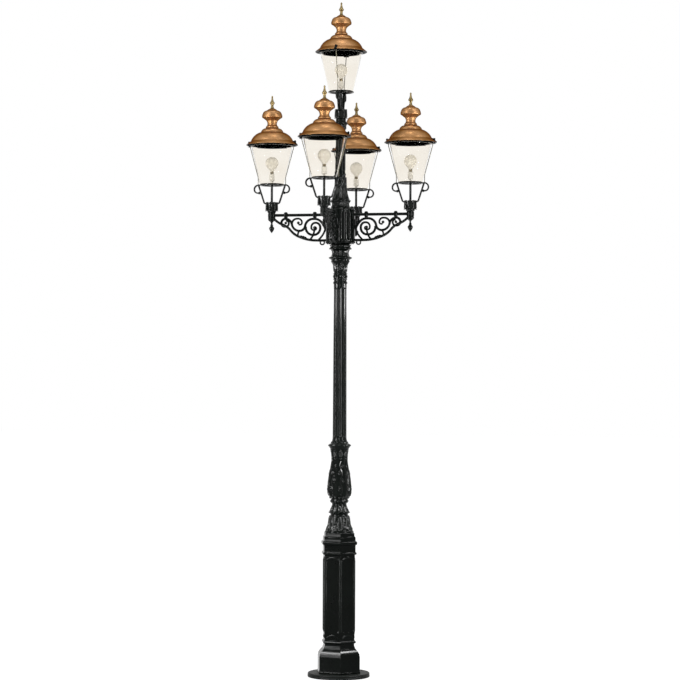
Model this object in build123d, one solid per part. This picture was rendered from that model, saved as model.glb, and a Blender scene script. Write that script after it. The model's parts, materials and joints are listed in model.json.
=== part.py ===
from build123d import *

# Five-head lamp post: a cast column that carries four scrolled arms and five copper-hooded lanterns.
# All sizes are in millimetres. The origin is the centre of the base plate's underside, +Z is up, and the
# four arms point along +X, -X, +Y and -Y.

import os
from math import atan2, cos, radians, sin

# Clearances and fits
TUBE_FIT = 0.3          # between the mast tube and each casting that is threaded over it
SPIGOT_FIT = 0.3        # between a spigot and the socket it stands in
SHELL_GAP = 0.5         # between a hood and the ring under it, and round each glass
PIN_FIT = 0.2           # between a pin or bolt and its hole
DOOR_GAP = 1.0          # round the service door

# Base plate and its anchorage
PLATE_R = 223.0
PLATE_T = 30.0
PLATE_GROOVE = 3.0
ANCHOR_PCD = 390.0
ANCHOR_HOLE_R = 9.0
ANCHOR_COUNT = 4
CABLE_BORE_R = 24.0
TUBE_SEAT_Z = 10.0

# Mast tube inside the column
TUBE_R = 30.15
TUBE_BORE_R = 26.5
TUBE_TOP = 3360.0
CABLE_WINDOW_H = 60.0
CABLE_WINDOW_W = 24.0

# Six-sided pedestal; radii are measured to the corners
PEDESTAL_TURN = -72.2   # direction of one corner, degrees from +X
PLINTH_R = 167.5
PLINTH_TOE_R = 171.5
PLINTH_SHOULDER_Z = 150.0
PLINTH_NECK_R = 122.5
PLINTH_NECK_Z = 236.0
PLINTH_BEAD_R = 134.5
PLINTH_TOP = 268.0
PLINTH_SPACE_R = 95.0
SHAFT_R = 128.0
SHAFT_END_R = 124.0
SHAFT_WALL = 12.0
SHAFT_TOP = 872.0
PANEL_DEPTH = 4.0
PANEL_MARGIN = 12.0     # from a panel to the corner of the pedestal, along the face
PANEL_INSET_Z = 56.0    # from a panel to the ends of the pedestal shaft
PANEL_CORNER_R = 20.0
CAP_BEAD_R = 139.0
CAP_FRIEZE_R = 130.0
CAP_CORNICE_R = 143.0
CAP_STEP_R = 119.0
CAP_SPACE_R = 60.0
CAP_LID_T = 20.0
CAP_TOP = 1036.0

# Service door in the pedestal, on the face that looks away from the front
DOOR_FACE = 3           # counted round from PEDESTAL_TURN; the face lies half a step past that corner
DOOR_W = 84.0
DOOR_H = 340.0
DOOR_Z = 410.0
DOOR_T = 8.0
KNUCKLE_R = 4.5
KNUCKLE_H = 14.0
KNUCKLE_GAP = 0.4
DOOR_PIN_R = 2.0
DOOR_PIN_HEAD_R = 3.6
DOOR_AXIS_OUT = 5.5     # from the panel's plane out to the hinge axis
DOOR_AXIS_SIDE = 5.0    # from the doorway's edge to the hinge axis
DOOR_HINGE_INSET = 50.0
STRAP_T = 3.4
STRAP_L = 24.0
LOCK_R = 9.0
LOCK_FLANGE_R = 12.0
LOCK_INSET = 15.0       # from the door's free edge to the lock
LOCK_CAM_L = 23.0
LOCK_CAM_W = 12.0
LOCK_CAM_T = 3.0
LOCK_KEY_R = 6.0
FUSE_BOX_W = 66.0
FUSE_BOX_H = 150.0
FUSE_BOX_DEPTH = 48.0
FUSE_BOX_Z = 580.0
FUSE_BOX_CORNER_R = 4.0
FUSE_BOX_LID_T = 10.5
FUSE_BOX_SEAM = 1.5
CABLE_ENTRY_R = 7.0
CABLE_ENTRY_DEPTH = 14.0
CABLE_ENTRY_INSET = 24.0

# Leafed bell and urn above the pedestal
BELL_R = 103.0
BELL_LEAVES = 8
BELL_LEAF_W = 52.0
BELL_LEAF_H = 96.0
BELL_LEAF_T = 9.0
BELL_RING_R = 77.5
BELL_RING_Z = 1177.0
NECK_R = 52.0
URN_Z = 1272.0
URN_R = 89.4            # to the corners of the eight-sided belly
URN_BELLY_Z = 1336.0
URN_WAIST_R = 60.5
URN_WAIST_Z = 1572.0
URN_LIP_R = 68.0
URN_LIP_Z = 1632.0
URN_COLLAR_R = 83.0
URN_COLLAR_Z = 1659.0
URN_TOP = 1690.0

# Fluted shaft and capital
FLUTED_FOOT_R = 50.7
FLUTED_HEAD_R = 46.5
FLUTED_TOP = 2818.0
FLUTES = 12
FLUTE_R = 10.5
FLUTE_DEPTH = 5.5
FLUTE_STOP = 26.0
CAPITAL_BAND_R = 49.0
CAPITAL_NECK_R = 45.0
CAPITAL_BELL_R = 67.0
CAPITAL_RING_R = 84.0
CAPITAL_RING_T = 9.0
CAPITAL_RING_Z = (3006.0, 3071.0)
CAPITAL_TOP = 3100.0

# Hub that the arms are bolted to
HUB_R = 76.0
HUB_PAD_R = 92.0
HUB_PAD_W = 46.0
HUB_FOOT_R = 66.0
HUB_TOP = 3366.0
HUB_REEDS = 12
HUB_REED_R = 9.0
HUB_REED_Z = 3330.0

# Spire that carries the top lantern
SPIRE_FOOT_R = 64.0
SPIRE_R = 32.5
SPIRE_FOOT_TOP = 3620.0
SPIRE_LEAVES = 8
SPIRE_LEAF_W = 34.0
SPIRE_LEAF_H = 150.0
SPIRE_LEAF_T = 7.0
SPIRE_COLLAR_R = 47.0
SPIRE_COLLAR_Z = 3975.0
SPIRE_BORE_R = 8.0

# Scrolled arms
ARM_R = 512.0
BAR_Z = 3318.0
BAR_R = 10.5
PLATE_W = 40.0
ARM_PLATE_T = 12.0
ARM_PLATE_LOW = 3104.0
ARM_PLATE_HIGH = 3358.0
SCROLL_T = 11.0
SCROLL_W = 9.0
RAIL_W = 12.0
CLIP_W = 24.0
CLIP_T = 24.0
SCROLL_SPAN = 408.0     # from the back plate to the socket's axis, as the scrolls below are drawn
SOCKET_R = 27.5
SOCKET_LOW = 3286.0
BOLT_R = 4.0
BOLT_HEAD_R = 6.0
BOLT_HEAD_H = 5.0
BOLT_L = 26.0
BOLT_INSET = 13.0       # from the back plate's ends to its bolts
PENDANT_R = 18.5
PENDANT_NECK_R = 7.0
PENDANT_TIP = 3189.0
PENDANT_SPIGOT_R = 5.0
PENDANT_SPIGOT_L = 14.0

# Lanterns; heights are measured from the cradle ring's centre plane
ARM_RING_Z = 3538.0
TOP_RING_Z = 4201.0
RING_R = 102.0
RING_BORE_R = 80.0
RING_T = 9.0
RING_HUB_R = 22.0
SPOKES = 4
SPOKE_W = 12.0
STEM_R = 8.5
CROWN_BASE = -190.0
CROWN_TOP = -124.0
CROWN_R = 43.0
CROWN_LIP_R = 47.5
CROWN_RIBS = 8
CROWN_RIB_W = 13.0
CROWN_CORE_R = 36.0
CROWN_SPIGOT_R = 12.0
CROWN_SPIGOT_H = 30.0
LEG_R = 5.0
LEG_FOOT_R = 60.0
LEG_FOOT_Z = -122.0
EAR_W = 11.0
EAR_REACH = 38.0
EAR_HEIGHT = 64.0
EAR_BALL_R = 8.5
GLASS_T = 4.0
GLASS_FOOT_R = 88.0
GLASS_TOP_R = 145.0
GLASS_LIP_Z = 262.0
GALLERY_LOW = 284.0
GALLERY_R = 158.0
GALLERY_BORE_R = 146.5
STAY_R = 2.75
STAY_TOP_R = 162.0
STAY_BEND_Z = 58.0
STAY_NUT_R = 4.2
STAY_NUT_H = 6.0
LUG_W = 22.0
LUG_T = 6.0

# Copper hood, finial and the hinge between hood and gallery
HOOD_T = 2.5
BRIM_R = 187.0
BRIM_Z = 290.0
DOME_FOOT_R = 154.0
DOME_FOOT_Z = 317.0
DOME_TOP_R = 94.0
DOME_TOP_Z = 379.0
CAP_DOME_R = 81.0
CAP_DOME_Z = 385.0
HOOD_NECK_R = 34.0
HOOD_NECK_Z = 443.0
KNOB_R = 73.5
KNOB_Z = 497.0
KNOB_TOP_R = 24.0
KNOB_TOP_Z = 553.0
FINIAL_TOP = 649.0
FINIAL_BULGE_R = 17.5
FINIAL_STEM_R = 9.5
FINIAL_TIP_R = 6.5
FINIAL_SPIGOT_R = 6.0
FINIAL_SPIGOT_L = 10.0
HINGE_R = 173.0         # from the lantern's axis out to the hinge axis
HINGE_Z = 281.0
HINGE_KNUCKLE_R = 4.2
HINGE_KNUCKLE_L = 12.0
HINGE_GAP = 0.5
HINGE_PIN_R = 2.0
HINGE_WEB_T = 4.0
SCREW_R = 3.0
SCREW_HOLE_R = 4.6
SCREW_PLACE_R = 172.0
SCREW_KNOB_R = 8.0
SCREW_KNOB_H = 10.0
SCREW_FLUTES = 8

# Lamp
HOLDER_R = 19.0
HOLDER_LOW = 30.0
HOLDER_TOP = 78.0
HOLDER_BORE_R = 13.6
CAP_R = 13.0
CAP_L = 40.0
GLOBE_R = 46.0
GLOBE_Z = 158.0

HEX_FLAT = cos(radians(30))
OCT_FLAT = cos(radians(22.5))


def outline(points):
    """A closed face in the XZ plane through (radius, height) points.

    A third value bows the run that ends at the point: outward where the run climbs, inward where it falls.
    """
    edges = []
    for start, end in zip(points, points[1:] + points[:1]):
        a, b = start[:2], end[:2]
        if len(end) == 3:
            edges.append(SagittaArc(a, b, -end[2]))
        else:
            edges.append(Line(a, b))
    return Plane.XZ * make_face(Wire(edges))


def turned(points):
    """A solid turned about the Z axis."""
    return revolve(outline(points), Axis.Z)


def sided(points, sides, flat_share, turn):
    """A many-sided column with mitred mouldings, from its corner radii and heights, foot to head."""
    slab = None
    half = [(p[0] * flat_share, *p[1:]) for p in points]
    reach = 4 * max(p[0] for p in points)
    edges = []
    for start, end in zip(half, half[1:]):
        a, b = start[:2], end[:2]
        mirror_a, mirror_b = (-a[0], a[1]), (-b[0], b[1])
        if len(end) == 3:
            edges.append(SagittaArc(a, b, -end[2]))
            edges.append(SagittaArc(mirror_a, mirror_b, end[2]))
        else:
            edges.append(Line(a, b))
            edges.append(Line(mirror_a, mirror_b))
    edges.append(Line((-half[0][0], half[0][1]), (half[0][0], half[0][1])))
    edges.append(Line((-half[-1][0], half[-1][1]), (half[-1][0], half[-1][1])))
    profile = Plane.XZ * make_face(Wire(edges))
    for k in range(sides // 2):
        bar = extrude(profile, amount=reach / 2, both=True)
        bar = Rot(0, 0, turn + (k + 0.5) * 360 / sides) * bar
        slab = bar if slab is None else slab & bar
    return slab


def rod(radius, start, end):
    """A round bar between two points."""
    run = Vector(*end) - Vector(*start)
    return extrude(Plane(origin=start, z_dir=run) * Circle(radius), amount=run.length)


def cylinder(radius, low, high):
    """An upright cylinder between two heights."""
    return Pos(0, 0, low) * extrude(Circle(radius), amount=high - low)


def block(x_low, x_high, y_low, y_high, z_low, z_high):
    """A box between two corners."""
    size = (x_high - x_low, y_high - y_low, z_high - z_low)
    middle = ((x_low + x_high) / 2, (y_low + y_high) / 2, (z_low + z_high) / 2)
    return Pos(*middle) * Box(*size)


def stroke(points, width):
    """A flat band of even width along arcs: end, middle, end, middle, end and so on, as a sketch."""
    band = None
    for start, middle, end in zip(points[0::2], points[1::2], points[2::2]):
        path = ThreePointArc(start, middle, end)
        centre = path.arc_center
        side = []
        for grow in (width / 2, -width / 2):
            shifted = []
            for x, y in (start, middle, end):
                away = Vector(x, y) - centre
                shifted.append(centre + away * (1 + grow / away.length))
            side.append(shifted)
        outer, inner = side
        face = make_face(Wire([
            ThreePointArc(*outer),
            Line(outer[2], inner[2]),
            ThreePointArc(*reversed(inner)),
            Line(inner[0], outer[0]),
        ]))
        piece = face + Pos(*start) * Circle(width / 2) + Pos(*end) * Circle(width / 2)
        band = piece if band is None else band + piece
    return band


def lens(width, height):
    """A leaf-shaped face, pointed at both ends, upright in its plane."""
    return make_face(Wire([
        SagittaArc((0, -height / 2), (0, height / 2), width / 2),
        SagittaArc((0, height / 2), (0, -height / 2), width / 2),
    ]))


def save(node, shape):
    """Write one sub-part to its own file."""
    os.makedirs("parts", exist_ok=True)
    shape = shape if isinstance(shape, Compound) else Compound(children=[shape])
    shape.label = node
    export_step(shape, f"parts/{node}.step")


def tube_hole(low, high):
    """The hole that lets a casting slide over the mast tube."""
    return cylinder(TUBE_R + TUBE_FIT, low - 1, high + 1)


# Post


def base_plate():
    edge = 5.0
    groove_z = PLATE_T / 2
    plate = turned([
        (0, 0), (PLATE_R - 2, 0), (PLATE_R, 2), (PLATE_R, groove_z - 2),
        (PLATE_R - PLATE_GROOVE, groove_z), (PLATE_R - PLATE_GROOVE, groove_z + 3),
        (PLATE_R - 1, groove_z + 5), (PLATE_R - 1, PLATE_T - edge), (PLATE_R - 1 - edge, PLATE_T),
        (0, PLATE_T),
    ])
    plate -= cylinder(CABLE_BORE_R, -1, PLATE_T + 1)
    plate -= cylinder(TUBE_R + TUBE_FIT, TUBE_SEAT_Z, PLATE_T + 1)
    for k in range(ANCHOR_COUNT):
        angle = (k + 0.5) * 360 / ANCHOR_COUNT
        hole = Pos(ANCHOR_PCD / 2, 0, 0) * cylinder(ANCHOR_HOLE_R, -1, PLATE_T + 1)
        plate -= Rot(0, 0, angle) * hole
    return plate


def mast_tube():
    tube = cylinder(TUBE_R, TUBE_SEAT_Z, TUBE_TOP) - cylinder(TUBE_BORE_R, TUBE_SEAT_Z - 1, TUBE_TOP + 1)
    low = DOOR_Z + CABLE_WINDOW_H
    half = CABLE_WINDOW_W / 2
    window = block(0, 2 * TUBE_R, -half, half, low, low + CABLE_WINDOW_H)
    return tube - Rot(0, 0, door_direction()) * window


def pedestal_plinth():
    body = sided([
        (PLINTH_TOE_R, PLATE_T), (PLINTH_TOE_R, PLATE_T + 9), (PLINTH_R, PLATE_T + 15),
        (PLINTH_R, PLINTH_SHOULDER_Z), (PLINTH_R - 3, PLINTH_SHOULDER_Z + 8),
        (PLINTH_R - 3, PLINTH_SHOULDER_Z + 15), (PLINTH_R - 37, PLINTH_SHOULDER_Z + 55, 1.5),
        (PLINTH_NECK_R, PLINTH_NECK_Z, -2), (PLINTH_NECK_R, PLINTH_NECK_Z + 5),
        (PLINTH_BEAD_R, PLINTH_NECK_Z + 13), (PLINTH_BEAD_R, PLINTH_NECK_Z + 22),
        (SHAFT_END_R, PLINTH_TOP),
    ], 6, HEX_FLAT, PEDESTAL_TURN)
    return body - cylinder(PLINTH_SPACE_R, PLATE_T - 1, PLINTH_TOP + 1)


def face_direction(number):
    """The way a face of the pedestal looks, degrees from +X."""
    return PEDESTAL_TURN + (number - 0.5) * 60


def door_direction():
    return face_direction(DOOR_FACE)


def panel_plane():
    """Distance from the column's axis to the floor of a recessed panel."""
    return SHAFT_R * HEX_FLAT - PANEL_DEPTH


def at_door(shape):
    """Place a shape made with its X axis out through the door and its Y axis across it."""
    return Rot(0, 0, door_direction()) * shape


def hinge_heights():
    return (DOOR_Z + DOOR_HINGE_INSET, DOOR_Z + DOOR_H - DOOR_HINGE_INSET)


def door_axis():
    """The door's hinge axis, in the door's own X (out) and Y (across)."""
    return (panel_plane() + DOOR_AXIS_OUT, -DOOR_W / 2 - DOOR_AXIS_SIDE)


def knuckle(x, y, z_middle, reach_to_x, reach_to_y, reach_low_x):
    """One hinge knuckle with the web that joins it to its leaf."""
    low, high = z_middle - KNUCKLE_H / 2, z_middle + KNUCKLE_H / 2
    eye = Pos(x, y, 0) * cylinder(KNUCKLE_R, low, high)
    web = block(reach_low_x, reach_to_x, min(y, reach_to_y), max(y, reach_to_y), low, high)
    return eye + web - Pos(x, y, 0) * cylinder(DOOR_PIN_R + PIN_FIT, low - 1, high + 1)


def pedestal_shaft():
    body = sided([
        (SHAFT_END_R, PLINTH_TOP), (SHAFT_END_R, PLINTH_TOP + 32), (SHAFT_R - 1.5, PLINTH_TOP + 50),
        (SHAFT_R, PLINTH_TOP + 62), (SHAFT_R, SHAFT_TOP - 34), (SHAFT_END_R + 1, SHAFT_TOP - 6),
        (SHAFT_END_R + 1, SHAFT_TOP),
    ], 6, HEX_FLAT, PEDESTAL_TURN)
    inner_r = SHAFT_R - SHAFT_WALL / HEX_FLAT
    body -= Rot(0, 0, PEDESTAL_TURN) * Pos(0, 0, PLINTH_TOP - 1) * extrude(
        RegularPolygon(inner_r, 6), amount=SHAFT_TOP - PLINTH_TOP + 2)
    panel_low = PLINTH_TOP + PANEL_INSET_Z
    panel_high = SHAFT_TOP - PANEL_INSET_Z / 2
    panel = RectangleRounded(SHAFT_R - 2 * PANEL_MARGIN, panel_high - panel_low, PANEL_CORNER_R)
    middle = (panel_plane(), 0, (panel_low + panel_high) / 2)
    recess = extrude(Plane(middle, x_dir=(0, 1, 0), z_dir=(1, 0, 0)) * panel, amount=3 * PANEL_DEPTH)
    for number in range(6):
        body -= Rot(0, 0, face_direction(number)) * recess
    opening = block(panel_plane() - 2 * SHAFT_WALL, panel_plane() + SHAFT_WALL, -DOOR_W / 2, DOOR_W / 2,
                    DOOR_Z, DOOR_Z + DOOR_H)
    body -= at_door(opening)
    x, y = door_axis()
    for middle in hinge_heights():
        for side in (-1, 1):
            height = middle + side * (KNUCKLE_H + KNUCKLE_GAP)
            body += at_door(knuckle(x, y, height, x, y + KNUCKLE_R - 1.5, panel_plane() - 1))
    return body


def service_door():
    low, high = DOOR_Z + DOOR_GAP, DOOR_Z + DOOR_H - DOOR_GAP
    half = DOOR_W / 2 - DOOR_GAP
    front = panel_plane()
    door = block(front - DOOR_T, front, -half, half, low, high)
    x, y = door_axis()
    for middle in hinge_heights():
        door += knuckle(x, y, middle, front + STRAP_T, -half + STRAP_L, front + 0.6)
        door += block(front - 1, front + STRAP_T, -half, -half + STRAP_L,
                      middle - KNUCKLE_H / 2, middle + KNUCKLE_H / 2)
        door -= Pos(x, y, 0) * cylinder(DOOR_PIN_R + PIN_FIT, middle - KNUCKLE_H, middle + KNUCKLE_H)
    lock_hole = rod(LOCK_R + PIN_FIT, (front - 2 * DOOR_T, half - LOCK_INSET, lock_height()),
                    (front + DOOR_T, half - LOCK_INSET, lock_height()))
    return at_door(door - lock_hole)


def lock_height():
    return DOOR_Z + DOOR_H / 2


def door_lock():
    """Key barrel, flange and cam; the cam hangs down behind the door while the lock is released."""
    front = panel_plane()
    y = DOOR_W / 2 - DOOR_GAP - LOCK_INSET
    z = lock_height()
    back = front - DOOR_T
    barrel = rod(LOCK_R, (back - DOOR_GAP - LOCK_CAM_T, y, z), (front + 2, y, z))
    barrel += rod(LOCK_FLANGE_R, (front + PIN_FIT, y, z), (front + 2.5, y, z))
    cam = block(back - DOOR_GAP - LOCK_CAM_T, back - DOOR_GAP, y - LOCK_CAM_W / 2, y + LOCK_CAM_W / 2,
                z - LOCK_CAM_L, z)
    key = Plane((front - 4, y, z), x_dir=(0, 1, 0), z_dir=(1, 0, 0)) * RegularPolygon(LOCK_KEY_R, 3)
    return at_door(barrel + cam - extrude(key, amount=10))


def door_hinge_pins():
    x, y = door_axis()
    pins = []
    for middle in hinge_heights():
        reach = 1.5 * KNUCKLE_H + KNUCKLE_GAP
        pin = cylinder(DOOR_PIN_R, middle - reach, middle + reach + 0.3)
        pin += cylinder(DOOR_PIN_HEAD_R, middle + reach + 0.3, middle + reach + 2.3)
        pins.append(at_door(Pos(x, y, 0) * pin))
    return Compound(children=pins)


def fuse_box():
    """Cable terminal box that saddles the mast tube behind the door."""
    near = TUBE_R - 8
    far = near + FUSE_BOX_DEPTH
    low, high = FUSE_BOX_Z, FUSE_BOX_Z + FUSE_BOX_H
    half = FUSE_BOX_W / 2
    box = block(near, far, -half, half, low, high)
    box = fillet(box.edges().filter_by(Axis.Z), FUSE_BOX_CORNER_R)
    seam_x = far - FUSE_BOX_LID_T
    seam = block(seam_x - FUSE_BOX_SEAM, seam_x, -2 * half, 2 * half, low - 1, high + 1)
    core = half - FUSE_BOX_SEAM
    box -= seam - block(near, far, -core, core, low - 2, high + 2)
    box -= tube_hole(low, high)
    for z in (low - 1, high - CABLE_ENTRY_DEPTH):
        box -= Pos(far - CABLE_ENTRY_INSET, 0, 0) * cylinder(CABLE_ENTRY_R, z, z + CABLE_ENTRY_DEPTH + 1)
    return at_door(box)


def pedestal_cap():
    body = sided([
        (SHAFT_END_R + 1, SHAFT_TOP), (CAP_BEAD_R, SHAFT_TOP + 9), (CAP_BEAD_R, SHAFT_TOP + 18),
        (CAP_FRIEZE_R, SHAFT_TOP + 25), (CAP_FRIEZE_R, SHAFT_TOP + 70), (CAP_CORNICE_R, SHAFT_TOP + 81),
        (CAP_CORNICE_R, SHAFT_TOP + 95), (CAP_FRIEZE_R, SHAFT_TOP + 104), (CAP_FRIEZE_R, CAP_TOP - 32),
        (CAP_STEP_R + 2, CAP_TOP - 26), (CAP_STEP_R, CAP_TOP - 4), (CAP_STEP_R - 6, CAP_TOP),
    ], 6, HEX_FLAT, PEDESTAL_TURN)
    body -= cylinder(CAP_SPACE_R, SHAFT_TOP - 1, CAP_TOP - CAP_LID_T)
    return body - tube_hole(SHAFT_TOP, CAP_TOP)


def leaf_ring(count, width, height, thickness, foot_r, foot_z, tilt, turn=0.0):
    """Pointed leaves standing round a turned casting, leaning in by tilt degrees."""
    leaf = extrude(Pos(0, height / 2) * lens(width, height), amount=thickness, both=True)
    outward = (cos(radians(tilt)), 0, sin(radians(tilt)))
    leaf = Plane((foot_r, 0, foot_z), x_dir=(0, 1, 0), z_dir=outward) * leaf
    return [Rot(0, 0, turn + k * 360 / count) * leaf for k in range(count)]


def urn_foot():
    """Leafed bell, ring and neck between the pedestal and the urn."""
    body = turned([
        (0, CAP_TOP), (BELL_R, CAP_TOP), (BELL_R, CAP_TOP + 7), (BELL_R - 10, CAP_TOP + 12),
        (BELL_R - 12, CAP_TOP + 30), (76, CAP_TOP + 58, -3), (71, CAP_TOP + 100), (63, CAP_TOP + 114),
        (63, BELL_RING_Z - 15), (BELL_RING_R, BELL_RING_Z - 3), (BELL_RING_R, BELL_RING_Z + 3),
        (67, BELL_RING_Z + 10), (66, BELL_RING_Z + 18), (NECK_R, BELL_RING_Z + 48, -3),
        (NECK_R, BELL_RING_Z + 64), (NECK_R + 12, BELL_RING_Z + 78), (NECK_R + 12, BELL_RING_Z + 90),
        (NECK_R + 8, URN_Z), (0, URN_Z),
    ])
    for leaf in leaf_ring(BELL_LEAVES, BELL_LEAF_W, BELL_LEAF_H, BELL_LEAF_T / 2, 88, CAP_TOP + 14, 12,
                          180 / BELL_LEAVES):
        body += leaf
    return body - tube_hole(CAP_TOP, URN_Z)


def urn_baluster():
    """Eight-sided urn with its turned collar."""
    body = sided([
        (NECK_R + 9, URN_Z), (NECK_R + 13, URN_Z + 12), (URN_R - 9, URN_Z + 20),
        (URN_R, URN_BELLY_Z, 5), (URN_R - 9, URN_BELLY_Z + 100, 2), (URN_R - 22, URN_BELLY_Z + 158),
        (URN_WAIST_R, URN_WAIST_Z, -3), (URN_LIP_R, URN_LIP_Z, -2),
    ], 8, OCT_FLAT, 0)
    body += turned([
        (0, URN_LIP_Z - 8), (URN_LIP_R - 4, URN_LIP_Z - 8), (URN_LIP_R + 2, URN_LIP_Z + 6),
        (URN_COLLAR_R, URN_COLLAR_Z - 5), (URN_COLLAR_R, URN_COLLAR_Z + 3),
        (URN_COLLAR_R - 19, URN_COLLAR_Z + 14), (FLUTED_FOOT_R + 6, URN_TOP - 8),
        (FLUTED_FOOT_R + 4, URN_TOP), (0, URN_TOP),
    ])
    return body - tube_hole(URN_Z, URN_TOP)


def fluted_shaft():
    body = turned([
        (0, URN_TOP), (FLUTED_FOOT_R + 3, URN_TOP), (FLUTED_FOOT_R + 3, URN_TOP + 8),
        (FLUTED_FOOT_R, URN_TOP + 13), (FLUTED_HEAD_R, FLUTED_TOP), (0, FLUTED_TOP),
    ])
    low, high = URN_TOP + FLUTE_STOP, FLUTED_TOP - FLUTE_STOP
    foot = (FLUTED_FOOT_R + FLUTE_R - FLUTE_DEPTH, 0, low)
    head = (FLUTED_HEAD_R + FLUTE_R - FLUTE_DEPTH, 0, high)
    groove = rod(FLUTE_R, foot, head)
    groove += Pos(*foot) * Sphere(FLUTE_R)
    groove += Pos(*head) * Sphere(FLUTE_R)
    body -= [Rot(0, 0, PEDESTAL_TURN + (k + 0.5) * 360 / FLUTES) * groove for k in range(FLUTES)]
    return body - tube_hole(URN_TOP, FLUTED_TOP)


def capital():
    low_ring, high_ring = CAPITAL_RING_Z
    half = CAPITAL_RING_T / 2
    body = turned([
        (0, FLUTED_TOP), (FLUTED_HEAD_R + 2, FLUTED_TOP), (FLUTED_HEAD_R + 5, FLUTED_TOP + 4),
        (FLUTED_HEAD_R + 5, FLUTED_TOP + 12), (CAPITAL_NECK_R, FLUTED_TOP + 19),
        (CAPITAL_NECK_R, FLUTED_TOP + 35), (CAPITAL_BAND_R, FLUTED_TOP + 37),
        (CAPITAL_BAND_R, FLUTED_TOP + 74), (CAPITAL_NECK_R, FLUTED_TOP + 78),
        (CAPITAL_NECK_R, FLUTED_TOP + 96), (CAPITAL_BELL_R, low_ring - 27, -8),
        (CAPITAL_BELL_R - 3, low_ring - 14), (CAPITAL_RING_R, low_ring - half),
        (CAPITAL_RING_R, low_ring + half), (CAPITAL_BELL_R - 4, low_ring + 13),
        (CAPITAL_BELL_R - 10, low_ring + 30, -1), (CAPITAL_BELL_R - 8, high_ring - 13),
        (CAPITAL_RING_R - 1, high_ring - half), (CAPITAL_RING_R - 1, high_ring + half),
        (CAPITAL_BELL_R, high_ring + 12), (CAPITAL_BELL_R, CAPITAL_TOP), (0, CAPITAL_TOP),
    ])
    return body - tube_hole(FLUTED_TOP, CAPITAL_TOP)


def arm_hub():
    body = turned([
        (0, CAPITAL_TOP), (HUB_FOOT_R, CAPITAL_TOP), (HUB_R, CAPITAL_TOP + 30), (HUB_R, HUB_TOP - 20),
        (HUB_R - 8, HUB_TOP), (0, HUB_TOP),
    ])
    reed = cylinder(HUB_REED_R, CAPITAL_TOP + 34, HUB_REED_Z)
    reed += Pos(0, 0, HUB_REED_Z) * Sphere(HUB_REED_R)
    reed = Pos(HUB_R - 1, 0, 0) * reed
    for k in range(HUB_REEDS):
        angle = (k + 0.5) * 360 / HUB_REEDS
        body += Rot(0, 0, angle) * reed
    pad = block(0, HUB_PAD_R, -HUB_PAD_W / 2, HUB_PAD_W / 2, ARM_PLATE_LOW, ARM_PLATE_HIGH)
    for quarter in range(4):
        body += Rot(0, 0, 90 * quarter) * pad
    for quarter in range(4):
        for z in bolt_heights():
            hole = rod(BOLT_R + PIN_FIT, (HUB_PAD_R - BOLT_L, 0, z), (HUB_PAD_R + 1, 0, z))
            body -= Rot(0, 0, 90 * quarter) * hole
    body -= tube_hole(CAPITAL_TOP, TUBE_TOP)
    return body - cylinder(CROWN_SPIGOT_R + SPIGOT_FIT, TUBE_TOP - 1, HUB_TOP + 1)


def spire_foot():
    """Leafed cone that stands on the hub, with a spigot down into the mast tube."""
    body = turned([
        (0, HUB_TOP), (SPIRE_FOOT_R, HUB_TOP), (SPIRE_FOOT_R, HUB_TOP + 8),
        (SPIRE_FOOT_R - 6, HUB_TOP + 24), (SPIRE_FOOT_R - 2, HUB_TOP + 40, -2),
        (SPIRE_FOOT_R - 10, HUB_TOP + 60), (45, HUB_TOP + 130, -2),
        (SPIRE_R + 4, SPIRE_FOOT_TOP - 16), (SPIRE_R + 4, SPIRE_FOOT_TOP - 6),
        (SPIRE_R + 1, SPIRE_FOOT_TOP), (0, SPIRE_FOOT_TOP),
    ])
    for leaf in leaf_ring(SPIRE_LEAVES, SPIRE_LEAF_W, SPIRE_LEAF_H, SPIRE_LEAF_T / 2, SPIRE_FOOT_R - 6,
                          HUB_TOP + 42, 8):
        body += leaf
    body += cylinder(CROWN_SPIGOT_R, TUBE_TOP - 30, HUB_TOP + 1)
    floor = SPIRE_FOOT_TOP - CROWN_SPIGOT_H
    spigot_bore = cylinder(CROWN_SPIGOT_R + SPIGOT_FIT, floor, SPIRE_FOOT_TOP + 1)
    return body - spigot_bore - cylinder(SPIRE_BORE_R, TUBE_TOP - 31, SPIRE_FOOT_TOP)


def spire_tube():
    top = TOP_RING_Z + CROWN_BASE
    body = turned([
        (0, SPIRE_FOOT_TOP), (SPIRE_R, SPIRE_FOOT_TOP), (SPIRE_R, SPIRE_COLLAR_Z - 45),
        (SPIRE_R + 3, SPIRE_COLLAR_Z - 30), (SPIRE_R + 3, SPIRE_COLLAR_Z - 20),
        (SPIRE_COLLAR_R, SPIRE_COLLAR_Z - 6), (SPIRE_COLLAR_R, SPIRE_COLLAR_Z + 6),
        (SPIRE_R + 4, SPIRE_COLLAR_Z + 18), (SPIRE_R + 4, top), (0, top),
    ])
    body += cylinder(CROWN_SPIGOT_R, SPIRE_FOOT_TOP - CROWN_SPIGOT_H + 1, SPIRE_FOOT_TOP + 1)
    body += cylinder(CROWN_SPIGOT_R, top - 1, top + CROWN_SPIGOT_H)
    return body - cylinder(SPIRE_BORE_R, SPIRE_FOOT_TOP - CROWN_SPIGOT_H, top + CROWN_SPIGOT_H + 1)


# Arms


def bolt_heights():
    return (ARM_PLATE_LOW + BOLT_INSET, ARM_PLATE_HIGH - BOLT_INSET)


def along_arm(points):
    """Places drawn on the standing arm, spread over the arm's real length."""
    foot = HUB_PAD_R + ARM_PLATE_T
    share = (ARM_R - foot) / SCROLL_SPAN
    return [(foot + (u - foot) * share, z) for u, z in points]


def scroll(points, width):
    return stroke(along_arm(points), width)


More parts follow.
